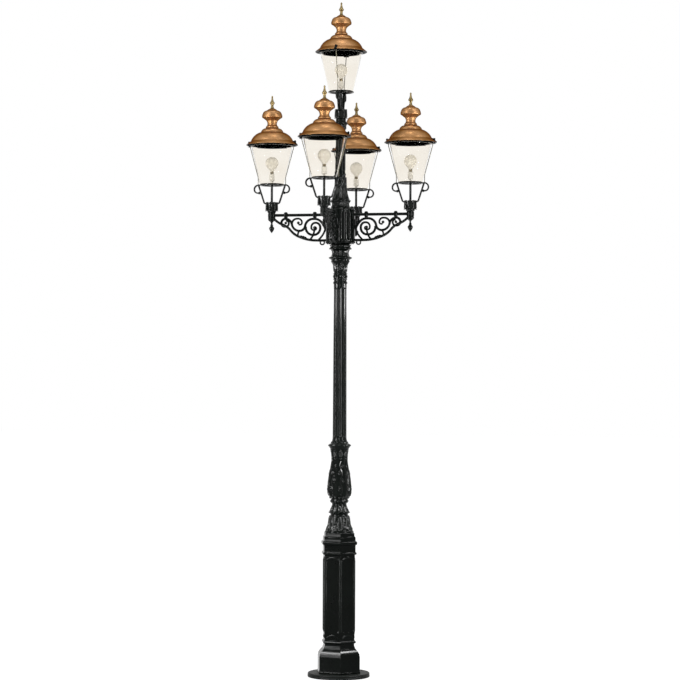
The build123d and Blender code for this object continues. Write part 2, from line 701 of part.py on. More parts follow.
def scrollwork():
    """The flat scrolls of one arm, in the plane of its radius and height."""
    great_band = scroll([
        (127, 3232), (147, 3272), (197, 3289), (240, 3277), (262, 3241), (276, 3214), (302, 3204),
        (343, 3219), (361, 3252), (350, 3281), (320, 3292), (294, 3284), (286, 3264), (297, 3249),
        (314, 3254),
    ], SCROLL_W)
    great_volute = scroll([
        (257, 3234), (243, 3191), (205, 3174), (165, 3187), (150, 3225), (160, 3252), (186, 3261),
        (208, 3252), (216, 3230), (210, 3213), (194, 3208),
    ], SCROLL_W)
    tail = scroll([(196, 3209), (206, 3170), (228, 3138)], SCROLL_W)
    hub_curve = scroll([(110, 3284), (114, 3212), (160, 3140)], SCROLL_W)
    small_scroll = scroll([
        (360, 3246), (374, 3277), (406, 3292), (431, 3283), (439, 3261), (430, 3242), (407, 3236),
        (389, 3244), (384, 3261), (391, 3274), (405, 3277), (415, 3271), (414, 3262),
    ], SCROLL_W)
    face = great_band + great_volute + tail + hub_curve + small_scroll
    eyes = along_arm([(192, 3227), (315, 3262), (407, 3261)])
    for eye, radius in zip(eyes, (10, 8, 8)):
        face += Pos(*eye) * Circle(radius)
    face += scroll([(194, 3208), (204, 3216), (200, 3228)], SCROLL_W)
    ring = Circle(19) - Circle(19 - SCROLL_W + 1)
    for place in along_arm([(134, 3120)]):
        face += Pos(*place) * ring
    return face


def rail():
    """The lower rail of one arm, from the socket down to the hub."""
    return scroll([
        (492, 3291), (468, 3270), (436, 3253), (404, 3237), (378, 3217), (342, 3181), (298, 3158),
        (238, 3140), (176, 3134), (138, 3133), (100, 3134),
    ], RAIL_W)


def arm_bracket(angle):
    """One arm: back plate, round top bar, scrolls, lower rail and the socket at its end."""
    upright = Plane((0, 0, 0), x_dir=(1, 0, 0), z_dir=(0, -1, 0))
    outer_face = HUB_PAD_R + ARM_PLATE_T
    plate = block(HUB_PAD_R, outer_face, -PLATE_W / 2, PLATE_W / 2, ARM_PLATE_LOW, ARM_PLATE_HIGH)
    arm = plate + rod(BAR_R, (outer_face - 2, 0, BAR_Z), (ARM_R, 0, BAR_Z))
    arm += extrude(upright * scrollwork(), amount=SCROLL_T / 2, both=True)
    arm += extrude(upright * rail(), amount=SCROLL_T / 2 + 1, both=True)
    for place in along_arm([(274, 3152)]):
        bud = Pos(*place) * Rot(0, 0, -66) * lens(24, 62)
        arm += extrude(upright * bud, amount=SCROLL_T / 2 + 3, both=True)
    for middle, low in along_arm([(190, 3286), (406, 3290)]):
        arm += block(middle - CLIP_W / 2, middle + CLIP_W / 2, -CLIP_T / 2, CLIP_T / 2, low, BAR_Z + 20)
    top = ARM_RING_Z + CROWN_BASE
    socket = turned([
        (0, SOCKET_LOW - 12), (13, SOCKET_LOW - 12), (SOCKET_R - 3, SOCKET_LOW, 2),
        (SOCKET_R, SOCKET_LOW + 4), (SOCKET_R, top - 12), (SOCKET_R + 4, top - 7),
        (SOCKET_R + 4, top), (0, top),
    ])
    socket += cylinder(CROWN_SPIGOT_R, top - 1, top + CROWN_SPIGOT_H)
    arm += Pos(ARM_R, 0, 0) * socket
    drop_hole = cylinder(PENDANT_SPIGOT_R + PIN_FIT, SOCKET_LOW - 13, SOCKET_LOW + PENDANT_SPIGOT_L)
    arm -= Pos(ARM_R, 0, 0) * drop_hole
    for z in bolt_heights():
        arm -= rod(BOLT_R + PIN_FIT, (HUB_PAD_R - 1, 0, z), (outer_face + 1, 0, z))
    return Rot(0, 0, angle) * arm


def bracket_bolts():
    outer_face = HUB_PAD_R + ARM_PLATE_T
    bolts = []
    for quarter in range(4):
        for z in bolt_heights():
            head = Plane((outer_face, 0, z), z_dir=(1, 0, 0)) * RegularPolygon(BOLT_HEAD_R, 6)
            bolt = extrude(head, amount=BOLT_HEAD_H)
            bolt += rod(BOLT_R, (outer_face + 1 - BOLT_L, 0, z), (outer_face + 1, 0, z))
            bolts.append(Rot(0, 0, 90 * quarter) * bolt)
    return Compound(children=bolts)


def pendant_finials():
    """The turned drops under the four sockets."""
    top = SOCKET_LOW - 12
    drop = turned([
        (0, PENDANT_TIP), (3, PENDANT_TIP + 4), (PENDANT_R - 2, PENDANT_TIP + 26, 1),
        (PENDANT_R, PENDANT_TIP + 35, 1), (PENDANT_NECK_R + 2, PENDANT_TIP + 52, 2),
        (PENDANT_NECK_R + 3, PENDANT_TIP + 58), (PENDANT_NECK_R, PENDANT_TIP + 62),
        (PENDANT_NECK_R, top - 6), (PENDANT_NECK_R + 5, top), (0, top),
    ])
    drop += cylinder(PENDANT_SPIGOT_R, top - 1, SOCKET_LOW - 12 + PENDANT_SPIGOT_L)
    return Compound(children=[Rot(0, 0, 90 * quarter) * Pos(ARM_R, 0, 0) * drop for quarter in range(4)])


# Lanterns


def lanterns():
    """Each lantern's name, where its ring stands and which way its hinged side looks."""
    return (
        ("left", (-ARM_R, 0, ARM_RING_Z), 180),
        ("right", (ARM_R, 0, ARM_RING_Z), 0),
        ("front", (0, -ARM_R, ARM_RING_Z), 180),
        ("rear", (0, ARM_R, ARM_RING_Z), 0),
        ("top", (0, 0, TOP_RING_Z), 90),
    )


def cradle():
    """Crown, centre stem, two legs with their ears, and the spoked ring that the glass stands on."""
    half = RING_T / 2
    body = turned([
        (RING_BORE_R, -half), (RING_R - 2, -half), (RING_R, -half + 2), (RING_R, half - 2),
        (RING_R - 2, half), (RING_BORE_R + 3, half), (RING_BORE_R + 3, half + 4),
        (RING_BORE_R, half + 4),
    ])
    for k in range(SPOKES):
        body += Rot(0, 0, 90 * k) * block(0, RING_BORE_R + 2, -SPOKE_W / 2, SPOKE_W / 2, -half, half - 2)
    body += cylinder(RING_HUB_R, -half, half)
    body += cylinder(STEM_R, CROWN_TOP - 10, 0)
    crown = turned([
        (0, CROWN_BASE), (CROWN_LIP_R, CROWN_BASE), (CROWN_LIP_R, CROWN_BASE + 3),
        (CROWN_R - 4, CROWN_BASE + 12, -2), (CROWN_CORE_R, CROWN_BASE + 20),
        (CROWN_CORE_R, CROWN_TOP - 14), (CROWN_CORE_R + 4, CROWN_TOP - 8),
        (CROWN_CORE_R + 4, CROWN_TOP - 4), (0, CROWN_TOP - 4),
    ])
    rib = block(CROWN_CORE_R - 6, CROWN_R, -CROWN_RIB_W / 2, CROWN_RIB_W / 2, CROWN_BASE + 8, CROWN_TOP)
    for k in range(CROWN_RIBS):
        crown += Rot(0, 0, k * 360 / CROWN_RIBS) * rib
    body += crown
    upright = Plane((0, 0, 0), x_dir=(1, 0, 0), z_dir=(0, -1, 0))
    knee = (LEG_FOOT_R - 8, LEG_FOOT_Z - 13)
    for side in (0, 180):
        leg = rod(LEG_R, (RING_R - 4, 0, -2), (LEG_FOOT_R, 0, LEG_FOOT_Z))
        leg += Pos(LEG_FOOT_R, 0, LEG_FOOT_Z) * Sphere(LEG_R)
        leg += rod(LEG_R, (LEG_FOOT_R, 0, LEG_FOOT_Z), (knee[0], 0, knee[1]))
        leg += Pos(knee[0], 0, knee[1]) * Sphere(LEG_R)
        leg += rod(LEG_R, (knee[0], 0, knee[1]), (CROWN_CORE_R, 0, knee[1]))
        ear_top = RING_R - 4
        reach = RING_R + EAR_REACH - EAR_W / 2
        ear = stroke([
            (ear_top, 0), (reach - 9, -9), (reach, -EAR_HEIGHT / 2),
            (reach - 12, -EAR_HEIGHT + 10), (ear_top + 4, -EAR_HEIGHT + EAR_BALL_R + 2),
        ], EAR_W - 2)
        leg += extrude(upright * ear, amount=EAR_W / 2 - 1, both=True)
        leg += Pos(ear_top - 4, 0, -EAR_HEIGHT + EAR_BALL_R - 1) * Sphere(EAR_BALL_R)
        body += Rot(0, 0, side) * leg
        stay_seat = (Pos(RING_R + 1, 0, 0) * cylinder(7, -half, half)
                     - Pos(RING_R + 1, 0, 0) * cylinder(STAY_R + PIN_FIT, half - 8, half + 1))
        body += Rot(0, 0, side) * stay_seat
        body -= Rot(0, 0, side) * Pos(RING_R + 1, 0, 0) * cylinder(STAY_R + PIN_FIT, half - 8, half + 1)
    return body - cylinder(CROWN_SPIGOT_R + SPIGOT_FIT, CROWN_BASE - 1, CROWN_BASE + CROWN_SPIGOT_H + 1)


def glass():
    """Open glass cone with a short upright lip, standing on the cradle ring."""
    low = RING_T / 2
    high = GALLERY_LOW - SHELL_GAP
    return turned([
        (GLASS_FOOT_R - GLASS_T, low), (GLASS_FOOT_R, low), (GLASS_TOP_R, GLASS_LIP_Z),
        (GLASS_TOP_R, high), (GLASS_TOP_R - GLASS_T, high), (GLASS_TOP_R - GLASS_T, GLASS_LIP_Z),
    ])


def brim_over(radius):
    """Height of the hood brim's upper side at a radius."""
    slope = (DOME_FOOT_Z - BRIM_Z) / (BRIM_R - DOME_FOOT_R)
    return DOME_FOOT_Z - (radius - DOME_FOOT_R) * slope


def brim_under(radius):
    """Height of the hood brim's underside at a radius."""
    pitch = atan2(DOME_FOOT_Z - BRIM_Z, BRIM_R - DOME_FOOT_R)
    return brim_over(radius) - HOOD_T / cos(pitch)


def screw_seat():
    """Height of the boss that the hood's thumb screw bears on."""
    return brim_over(SCREW_PLACE_R - SCREW_KNOB_R) + 0.5


def gallery_ring():
    """Ring round the glass's lip that carries the hood, with a hinge lug and a screw lug."""
    top = brim_under(GALLERY_R) - SHELL_GAP
    body = turned([
        (GALLERY_BORE_R, GALLERY_LOW + 3), (GLASS_TOP_R - GLASS_T - 2, GALLERY_LOW + 1.5),
        (GLASS_TOP_R - GLASS_T - 2, GALLERY_LOW), (GALLERY_R, GALLERY_LOW), (GALLERY_R, top),
        (GALLERY_BORE_R, top),
    ])
    lug_top = GALLERY_LOW + LUG_T
    lug = block(GALLERY_R - 4, STAY_TOP_R + 6, -LUG_W / 2, LUG_W / 2, GALLERY_LOW, lug_top)
    screw_lug = block(GALLERY_R - 4, SCREW_PLACE_R + 8, -LUG_W / 2, LUG_W / 2, GALLERY_LOW, lug_top)
    stay = Pos(STAY_TOP_R, 0, 0) * cylinder(STAY_R + PIN_FIT, GALLERY_LOW - 1, lug_top + 1)
    reach = HINGE_KNUCKLE_L / 2 + HINGE_GAP
    for side in (-1, 1):
        y_near, y_far = side * reach, side * (reach + HINGE_KNUCKLE_L)
        eye = rod(HINGE_KNUCKLE_R, (HINGE_R, y_near, HINGE_Z), (HINGE_R, y_far, HINGE_Z))
        low_y, high_y = min(y_near, y_far), max(y_near, y_far)
        web_top = HINGE_Z + HINGE_KNUCKLE_R
        web = block(GALLERY_R - 3, HINGE_R, low_y, high_y, web_top - HINGE_WEB_T, web_top)
        body += eye + web
    body += lug
    body -= rod(HINGE_PIN_R + PIN_FIT, (HINGE_R, -3 * reach, HINGE_Z), (HINGE_R, 3 * reach, HINGE_Z))
    screw_lug -= Pos(SCREW_PLACE_R, 0, 0) * cylinder(SCREW_HOLE_R, GALLERY_LOW - 1, lug_top + 1)
    body += Rot(0, 0, 180) * screw_lug
    sweep = HINGE_KNUCKLE_R + 3 * HINGE_GAP
    body -= block(HINGE_R - sweep, HINGE_R + 4 * sweep, -reach, reach, HINGE_Z - sweep, GALLERY_LOW + 3 * LUG_T)
    return body - stay - Rot(0, 0, 180) * stay


def stay_rods_of_one():
    """The two tie rods beside one glass, bent near the foot, with a nut at the head."""
    rods = []
    foot_r = RING_R + 1
    low = RING_T / 2 - 7
    high = GALLERY_LOW + LUG_T + 1
    for side in (0, 180):
        stay = rod(STAY_R, (foot_r, 0, low), (foot_r, 0, STAY_BEND_Z))
        stay += Pos(foot_r, 0, STAY_BEND_Z) * Sphere(STAY_R)
        stay += rod(STAY_R, (foot_r, 0, STAY_BEND_Z), (STAY_TOP_R, 0, GALLERY_LOW - 12))
        stay += Pos(STAY_TOP_R, 0, GALLERY_LOW - 12) * Sphere(STAY_R)
        stay += rod(STAY_R, (STAY_TOP_R, 0, GALLERY_LOW - 12), (STAY_TOP_R, 0, high))
        stay += Pos(STAY_TOP_R, 0, 0) * cylinder(STAY_NUT_R, GALLERY_LOW - STAY_NUT_H, GALLERY_LOW)
        rods.append(Rot(0, 0, side) * stay)
    return rods


def hood():
    """Spun copper roof: flared brim, dome, upper dome, neck and onion knob, with its hinge knuckle.

    A nut over the hinge matches the thumb screw on the other side.
    """
    t = HOOD_T
    inner_foot_r = DOME_FOOT_R - t
    crown_floor = KNOB_TOP_Z - FINIAL_SPIGOT_L - 4
    body = turned([
        (BRIM_R, BRIM_Z), (DOME_FOOT_R, DOME_FOOT_Z), (DOME_TOP_R, DOME_TOP_Z, 9),
        (CAP_DOME_R + 1, CAP_DOME_Z - 3), (CAP_DOME_R, CAP_DOME_Z), (50, CAP_DOME_Z + 27, 6),
        (44, CAP_DOME_Z + 32), (44, CAP_DOME_Z + 38), (HOOD_NECK_R, HOOD_NECK_Z, -4),
        (HOOD_NECK_R + 16, KNOB_Z - 22, -4), (KNOB_R - 1, KNOB_Z - 2), (KNOB_R, KNOB_Z),
        (KNOB_R - 4, KNOB_Z + 18, 1), (52, KNOB_Z + 42, 3), (KNOB_TOP_R, KNOB_TOP_Z, -3),
        (0, KNOB_TOP_Z), (0, crown_floor), (KNOB_TOP_R - 4, crown_floor), (48, KNOB_Z + 38),
        (KNOB_R - 7.5, KNOB_Z + 18), (KNOB_R - 4, KNOB_Z + 1), (HOOD_NECK_R + 7, KNOB_Z - 20),
        (HOOD_NECK_R - 4, HOOD_NECK_Z), (HOOD_NECK_R - 2, CAP_DOME_Z + 43), (40, CAP_DOME_Z + 28),
        (46, CAP_DOME_Z + 24), (CAP_DOME_R - 2 * t, CAP_DOME_Z - t, -5),
        (DOME_TOP_R - t, DOME_TOP_Z - t), (inner_foot_r, brim_under(inner_foot_r), -9),
        (BRIM_R - 3, brim_under(BRIM_R - 3)),
    ])
    reach = HINGE_KNUCKLE_L / 2
    strap_top = brim_over(HINGE_R + HINGE_KNUCKLE_R)
    body += rod(HINGE_KNUCKLE_R, (HINGE_R, -reach, HINGE_Z), (HINGE_R, reach, HINGE_Z))
    body += block(HINGE_R - 1.5, HINGE_R + HINGE_KNUCKLE_R, -reach, reach, HINGE_Z, strap_top)
    body -= rod(HINGE_PIN_R + PIN_FIT, (HINGE_R, -2 * reach, HINGE_Z), (HINGE_R, 2 * reach, HINGE_Z))
    boss_low = brim_under(SCREW_PLACE_R) - 2
    body += Pos(SCREW_PLACE_R, 0, 0) * cylinder(SCREW_KNOB_R, boss_low, screw_seat() + SCREW_KNOB_H)
    body += Pos(-SCREW_PLACE_R, 0, 0) * cylinder(SCREW_KNOB_R, boss_low, screw_seat())
    body -= Pos(-SCREW_PLACE_R, 0, 0) * cylinder(SCREW_R + PIN_FIT, BRIM_Z - 10, DOME_FOOT_Z + 10)
    return body - cylinder(FINIAL_SPIGOT_R + PIN_FIT, KNOB_TOP_Z - FINIAL_SPIGOT_L - 1, KNOB_TOP_Z + 1)


def finial():
    """Turned brass spike on the hood's knob."""
    base = KNOB_TOP_Z
    spike = turned([
        (0, base), (KNOB_TOP_R - 3, base), (KNOB_TOP_R - 8, base + 3), (FINIAL_STEM_R + 2, base + 10, -1),
        (FINIAL_STEM_R, base + 22), (FINIAL_STEM_R + 1, base + 31), (FINIAL_BULGE_R - 2, base + 38, 1),
        (FINIAL_BULGE_R, base + 43), (FINIAL_BULGE_R - 4, base + 49), (FINIAL_STEM_R, base + 60, -1),
        (FINIAL_TIP_R - 1, base + 80), (FINIAL_TIP_R, base + 84), (FINIAL_TIP_R, base + 88),
        (FINIAL_TIP_R - 2, base + 93), (0, FINIAL_TOP),
    ])
    return spike + cylinder(FINIAL_SPIGOT_R, base - FINIAL_SPIGOT_L, base + 1)


def thumb_screw():
    """Knurled screw that holds the hood shut, on the side away from the hinge."""
    seat = screw_seat()
    knob = cylinder(SCREW_KNOB_R, seat + SHELL_GAP, seat + SHELL_GAP + SCREW_KNOB_H)
    for k in range(SCREW_FLUTES):
        groove = Pos(SCREW_KNOB_R + 0.6, 0, 0) * cylinder(1.8, seat, seat + SCREW_KNOB_H + 2)
        knob -= Rot(0, 0, k * 360 / SCREW_FLUTES) * groove
    knob += cylinder(SCREW_R + 1.5, seat + SHELL_GAP + SCREW_KNOB_H, seat + SHELL_GAP + SCREW_KNOB_H + 3)
    knob += cylinder(SCREW_R, GALLERY_LOW - 2, seat + SHELL_GAP + 1)
    return Pos(-SCREW_PLACE_R, 0, 0) * knob


def hood_hinge_pin():
    reach = 1.5 * HINGE_KNUCKLE_L + HINGE_GAP + 1
    return rod(HINGE_PIN_R, (HINGE_R, -reach, HINGE_Z), (HINGE_R, reach, HINGE_Z))


def bulb():
    """Globe lamp with its screw cap."""
    low = HOLDER_TOP - CAP_L / 2
    neck_z = low + CAP_L
    touch_z = GLOBE_Z - GLOBE_R * 0.8
    touch_r = GLOBE_R * 0.6
    return turned([
        (0, low), (CAP_R - 4, low), (CAP_R, low + 4), (CAP_R, neck_z - 4), (CAP_R + 1, neck_z),
        (touch_r, touch_z, -3), (GLOBE_R, GLOBE_Z, GLOBE_R * (1 - cos(radians(26.6)))),
        (0, GLOBE_Z + GLOBE_R, GLOBE_R * (1 - cos(radians(45)))),
    ])


def lamp_holder():
    """Porcelain screw holder on its stem, in the middle of the cradle ring."""
    low = RING_T / 2
    body = turned([
        (0, low), (HOLDER_R - 3, low), (HOLDER_R - 3, low + 6), (9, low + 10), (9, HOLDER_LOW - 6),
        (HOLDER_R, HOLDER_LOW), (HOLDER_R, HOLDER_TOP - 2), (HOLDER_R - 2, HOLDER_TOP), (0, HOLDER_TOP),
    ])
    return body - cylinder(HOLDER_BORE_R, HOLDER_TOP - CAP_L / 2 - 1, HOLDER_TOP + 1)


POST = {
    "base_plate": base_plate,
    "mast_tube": mast_tube,
    "pedestal_plinth": pedestal_plinth,
    "pedestal_shaft": pedestal_shaft,
    "service_door": service_door,
    "door_lock": door_lock,
    "door_hinge_pins": door_hinge_pins,
    "fuse_box": fuse_box,
    "pedestal_cap": pedestal_cap,
    "urn_foot": urn_foot,
    "urn_baluster": urn_baluster,
    "fluted_shaft": fluted_shaft,
    "capital": capital,
    "arm_hub": arm_hub,
    "spire_foot": spire_foot,
    "spire_tube": spire_tube,
    "bracket_bolts": bracket_bolts,
    "pendant_finials": pendant_finials,
}

ARMS = {"right": 0, "rear": 90, "left": 180, "front": 270}

LANTERN_PIECES = {
    "cradle": cradle,
    "glass": glass,
    "gallery_ring": gallery_ring,
    "hood": hood,
    "finial": finial,
    "thumb_screw": thumb_screw,
    "bulb": bulb,
}

for node, make in POST.items():
    save(node, make())

for side, angle in ARMS.items():
    save(f"arm_{side}", arm_bracket(angle))

for piece, make in LANTERN_PIECES.items():
    shape = make()
    for side, place, turn in lanterns():
        save(f"{piece}_{side}", Pos(*place) * Rot(0, 0, turn) * shape)

stays, pins, holders = [], [], []
for side, place, turn in lanterns():
    spot = Pos(*place) * Rot(0, 0, turn)
    stays += [spot * stay for stay in stay_rods_of_one()]
    pins.append(spot * hood_hinge_pin())
    holders.append(spot * lamp_holder())
save("stay_rods", Compound(children=stays))
save("hood_hinge_pins", Compound(children=pins))
save("lamp_holders", Compound(children=holders))
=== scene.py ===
import json
from math import atan2, cos, pi, radians, sin, sqrt, tau

import bmesh
import bpy
from mathutils import Matrix, Vector


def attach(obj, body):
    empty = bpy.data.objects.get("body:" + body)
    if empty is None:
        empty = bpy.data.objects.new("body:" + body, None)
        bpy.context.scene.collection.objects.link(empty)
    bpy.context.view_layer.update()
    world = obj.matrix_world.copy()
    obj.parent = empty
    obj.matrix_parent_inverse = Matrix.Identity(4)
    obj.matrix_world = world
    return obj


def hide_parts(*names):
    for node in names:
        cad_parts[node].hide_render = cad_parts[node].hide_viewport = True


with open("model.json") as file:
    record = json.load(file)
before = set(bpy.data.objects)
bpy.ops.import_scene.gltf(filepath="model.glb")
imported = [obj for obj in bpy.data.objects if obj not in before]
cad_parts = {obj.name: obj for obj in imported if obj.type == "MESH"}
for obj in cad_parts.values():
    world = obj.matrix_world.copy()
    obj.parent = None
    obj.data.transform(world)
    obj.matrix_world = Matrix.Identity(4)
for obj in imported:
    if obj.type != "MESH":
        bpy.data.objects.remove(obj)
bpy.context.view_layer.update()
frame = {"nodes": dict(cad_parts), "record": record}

scene = bpy.context.scene

# Lengths are in millimetres and become metres as each piece is finished. Heights of the castings' joints:
MM = 0.001
PEDESTAL_TOP = 1036
BELL_TOP = 1272
URN_TOP = 1690
SHAFT_TOP = 2818
CAPITAL_TOP = 3100
HUB_TOP = 3366
SPIRE_FOOT_TOP = 3620
SPIRE_TOP = 4011
# Radius of the mast tube's way, an arm's reach, its socket's top, a lantern ring's height above its foot:
BORE = 33
ARM_REACH = 512
SOCKET_TOP = 3348
RING_RISE = 190
SIDES = {
    "left": ((-ARM_REACH, 0, SOCKET_TOP + RING_RISE), 180),
    "right": ((ARM_REACH, 0, SOCKET_TOP + RING_RISE), 0),
    "front": ((0, -ARM_REACH, SOCKET_TOP + RING_RISE), 180),
    "rear": ((0, ARM_REACH, SOCKET_TOP + RING_RISE), 0),
    "top": ((0, 0, SPIRE_TOP + RING_RISE), 90),
}
ARMS = {"right": 0, "rear": 90, "left": 180, "front": 270}
PEDESTAL_TURN = radians(-72.2)


# Materials


def socket_group(name, inputs, outputs):
    """An empty node group with named sockets, and its two end nodes."""
    group = bpy.data.node_groups.new(name, "ShaderNodeTree")
    for way, sockets in (("INPUT", inputs), ("OUTPUT", outputs)):
        for label, kind in sockets:
            group.interface.new_socket(name=label, in_out=way, socket_type="NodeSocket" + kind)
    return group, group.nodes.new("NodeGroupInput"), group.nodes.new("NodeGroupOutput")


def valued(node, **values):
    """Set a node's inputs by name; an underscore stands for a space."""
    for label, value in values.items():
        node.inputs[label.replace("_", " ")].default_value = value
    return node


def fed(tree, socket, value):
    """Link a value that another node gives, or set a plain one."""
    if hasattr(value, "links"):
        tree.links.new(value, socket)
    else:
        socket.default_value = value


def noise(tree, place, scale, detail, rough=0.55):
    node = valued(tree.nodes.new("ShaderNodeTexNoise"), Detail=detail, Roughness=rough)
    fed(tree, node.inputs["Scale"], scale)
    tree.links.new(place, node.inputs["Vector"])
    return node.outputs["Fac"]


def ranged(tree, value, low, high, to_low, to_high):
    node = valued(tree.nodes.new("ShaderNodeMapRange"), From_Min=low, From_Max=high, To_Min=to_low,
                  To_Max=to_high)
    tree.links.new(value, node.inputs["Value"])
    return node.outputs["Result"]


def blended(tree, factor, first, second):
    node = tree.nodes.new("ShaderNodeMix")
    node.data_type = "RGBA"
    tree.links.new(factor, node.inputs["Factor"])
    for end, value in (("A", first), ("B", second)):
        socket = next(s for s in node.inputs if s.name == end and s.type == "RGBA")
        fed(tree, socket, value if hasattr(value, "links") else (*value, 1))
    return next(s for s in node.outputs if s.type == "RGBA")


def arithmetic(tree, kind, first, second):
    node = tree.nodes.new("ShaderNodeMath")
    node.operation = kind
    for k, value in enumerate((first, second)):
        fed(tree, node.inputs[k], value)
    return node.outputs[0]


def build_mottle():
    """Slow and fine variation of a finish: colour, roughness and surface height."""
    group, ins, outs = socket_group(
        "mottle",
        [("Place", "Vector"), ("Deep", "Color"), ("Pale", "Color"), ("Slow scale", "Float"),
         ("Fine scale", "Float"), ("Smooth", "Float"), ("Rough", "Float")],
        [("Color", "Color"), ("Roughness", "Float"), ("Height", "Float")])
    slow = noise(group, ins.outputs["Place"], ins.outputs["Slow scale"], 5.0)
    fine = noise(group, ins.outputs["Place"], ins.outputs["Fine scale"], 3.0, 0.5)
    share = ranged(group, slow, 0.3, 0.7, 0.0, 1.0)
    colour = blended(group, share, ins.outputs["Deep"], ins.outputs["Pale"])
    span = arithmetic(group, "SUBTRACT", ins.outputs["Rough"], ins.outputs["Smooth"])
    rough = arithmetic(group, "ADD", arithmetic(group, "MULTIPLY", span, fine), ins.outputs["Smooth"])
    group.links.new(colour, outs.inputs["Color"])
    group.links.new(rough, outs.inputs["Roughness"])
    group.links.new(fine, outs.inputs["Height"])
    return group


def build_settled_dust():
    """Mask of the upward-facing surfaces, broken up, where dust and rain marks stay."""
    group, ins, outs = socket_group("settled_dust", [("Place", "Vector")], [("Mask", "Float")])
    facing = group.nodes.new("ShaderNodeNewGeometry")
    parts = group.nodes.new("ShaderNodeSeparateXYZ")
    group.links.new(facing.outputs["Normal"], parts.inputs["Vector"])
    up = ranged(group, parts.outputs["Z"], 0.35, 1.0, 0.0, 1.0)
    broken = noise(group, ins.outputs["Place"], 40.0, 6.0, 0.6)
    group.links.new(arithmetic(group, "MULTIPLY", up, ranged(group, broken, 0.35, 0.7, 0.0, 1.0)),
                    outs.inputs["Mask"])
    return group


MOTTLE = build_mottle()
DUST = build_settled_dust()
DUST_COLOUR = (0.30, 0.31, 0.28)


def started(name, metallic=0.0, **sockets):
    """A material, its node tree and its shader, with the shader's uniform values."""
    made = bpy.data.materials.new(name)
    made.use_nodes = True
    tree = made.node_tree
    return made, tree, valued(tree.nodes["Principled BSDF"], Metallic=metallic, **sockets)


def object_place(tree):
    return tree.nodes.new("ShaderNodeTexCoord").outputs["Object"]


def lantern_place(tree):
    """A lantern piece's own coordinates, from the ring's centre, so that all five share a pattern."""
    node = tree.nodes.new("ShaderNodeAttribute")
    node.attribute_name = "place"
    return node.outputs["Vector"]


def stretched(tree, place, scale):
    node = valued(tree.nodes.new("ShaderNodeMapping"), Scale=scale)
    tree.links.new(place, node.inputs["Vector"])
    return node.outputs["Vector"]


def mottled(tree, place, deep, pale, slow, fine, smooth, rough):
    node = tree.nodes.new("ShaderNodeGroup")
    node.node_tree = MOTTLE
    tree.links.new(place, node.inputs["Place"])
    return valued(node, Deep=(*deep, 1), Pale=(*pale, 1), Slow_scale=slow, Fine_scale=fine, Smooth=smooth,
                  Rough=rough).outputs


def bumped(tree, shader, height, distance, strength):
    node = valued(tree.nodes.new("ShaderNodeBump"), Distance=distance, Strength=strength)
    tree.links.new(height, node.inputs["Height"])
    tree.links.new(node.outputs["Normal"], shader.inputs["Normal"])


def cast_paint(name, deep, pale, smooth, rough, dust, shine, grain=180.0, depth=0.0006):
    """Gloss paint over a casting: slight orange peel, uneven gloss and a little dust on the ledges."""
    made, tree, shader = started(name, 0.0, Specular_IOR_Level=shine)
    place = object_place(tree)
    skin = mottled(tree, place, deep, pale, 9.0, grain, smooth, rough)
    settled = tree.nodes.new("ShaderNodeGroup")
    settled.node_tree = DUST
    tree.links.new(place, settled.inputs["Place"])
    share = arithmetic(tree, "MULTIPLY", settled.outputs["Mask"], dust)
    colour = blended(tree, share, skin["Color"], DUST_COLOUR)
    tree.links.new(colour, shader.inputs["Base Color"])
    tree.links.new(skin["Roughness"], shader.inputs["Roughness"])
    bumped(tree, shader, skin["Height"], depth, 0.35)
    return made


def spun_metal(name, deep, pale, edge, smooth, rough):
    """Metal spun on a lathe: fine rings over a slow change of tone, and painted shade that darkens it towards
    the edge colour where it is seen edge on or square to the view.
    """
    made, tree, shader = started(name, 1.0, Specular_Tint=(0.45, 0.3, 0.18, 1))
    place = lantern_place(tree)
    skin = mottled(tree, place, deep, pale, 11.0, 26.0, smooth, rough)
    rings = noise(tree, stretched(tree, place, (3.0, 3.0, 420.0)), 1.0, 3.0, 0.6)
    tone = blended(tree, ranged(tree, rings, 0.35, 0.65, 0.0, 0.25), skin["Color"], deep)
    # Painted shade and painted reflection: the Layer Weight darkens the tone towards the edge colour at
    # grazing angles and where the surface faces the view square.
    facing = tree.nodes.new("ShaderNodeLayerWeight").outputs["Facing"]
    tone = blended(tree, ranged(tree, facing, 0.45, 0.95, 0.0, 1.0), tone, edge)
    tone = blended(tree, ranged(tree, facing, 0.02, 0.16, 0.45, 0.0), tone, edge)
    tree.links.new(tone, shader.inputs["Base Color"])
    tree.links.new(skin["Roughness"], shader.inputs["Roughness"])
    bumped(tree, shader, rings, 0.0002, 0.12)
    return made


def plated(name, deep, pale, smooth, rough, metallic=1.0, **sockets):
    """A plain finish, metal unless said otherwise, with slight variation."""
    made, tree, shader = started(name, metallic, **sockets)
    skin = mottled(tree, object_place(tree), deep, pale, 30.0, 500.0, smooth, rough)
    tree.links.new(skin["Color"], shader.inputs["Base Color"])
    tree.links.new(skin["Roughness"], shader.inputs["Roughness"])
    bumped(tree, shader, skin["Height"], 0.0002, 0.3)
    return made


def shade_glass():
    """Clear glass with the faintest warm cast, slight streaks and a soft surface."""
    made, tree, shader = started("shade_glass", 0.0, IOR=1.07, Transmission_Weight=1.0)
    place = lantern_place(tree)
    skin = mottled(tree, place, (0.935, 0.905, 0.855), (0.965, 0.945, 0.905), 9.0, 60.0, 0.02, 0.10)
    tree.links.new(skin["Color"], shader.inputs["Base Color"])
    tree.links.new(skin["Roughness"], shader.inputs["Roughness"])
    bumped(tree, shader, noise(tree, stretched(tree, place, (9.0, 9.0, 3.0)), 1.0, 2.0), 0.002, 0.12)
    return made


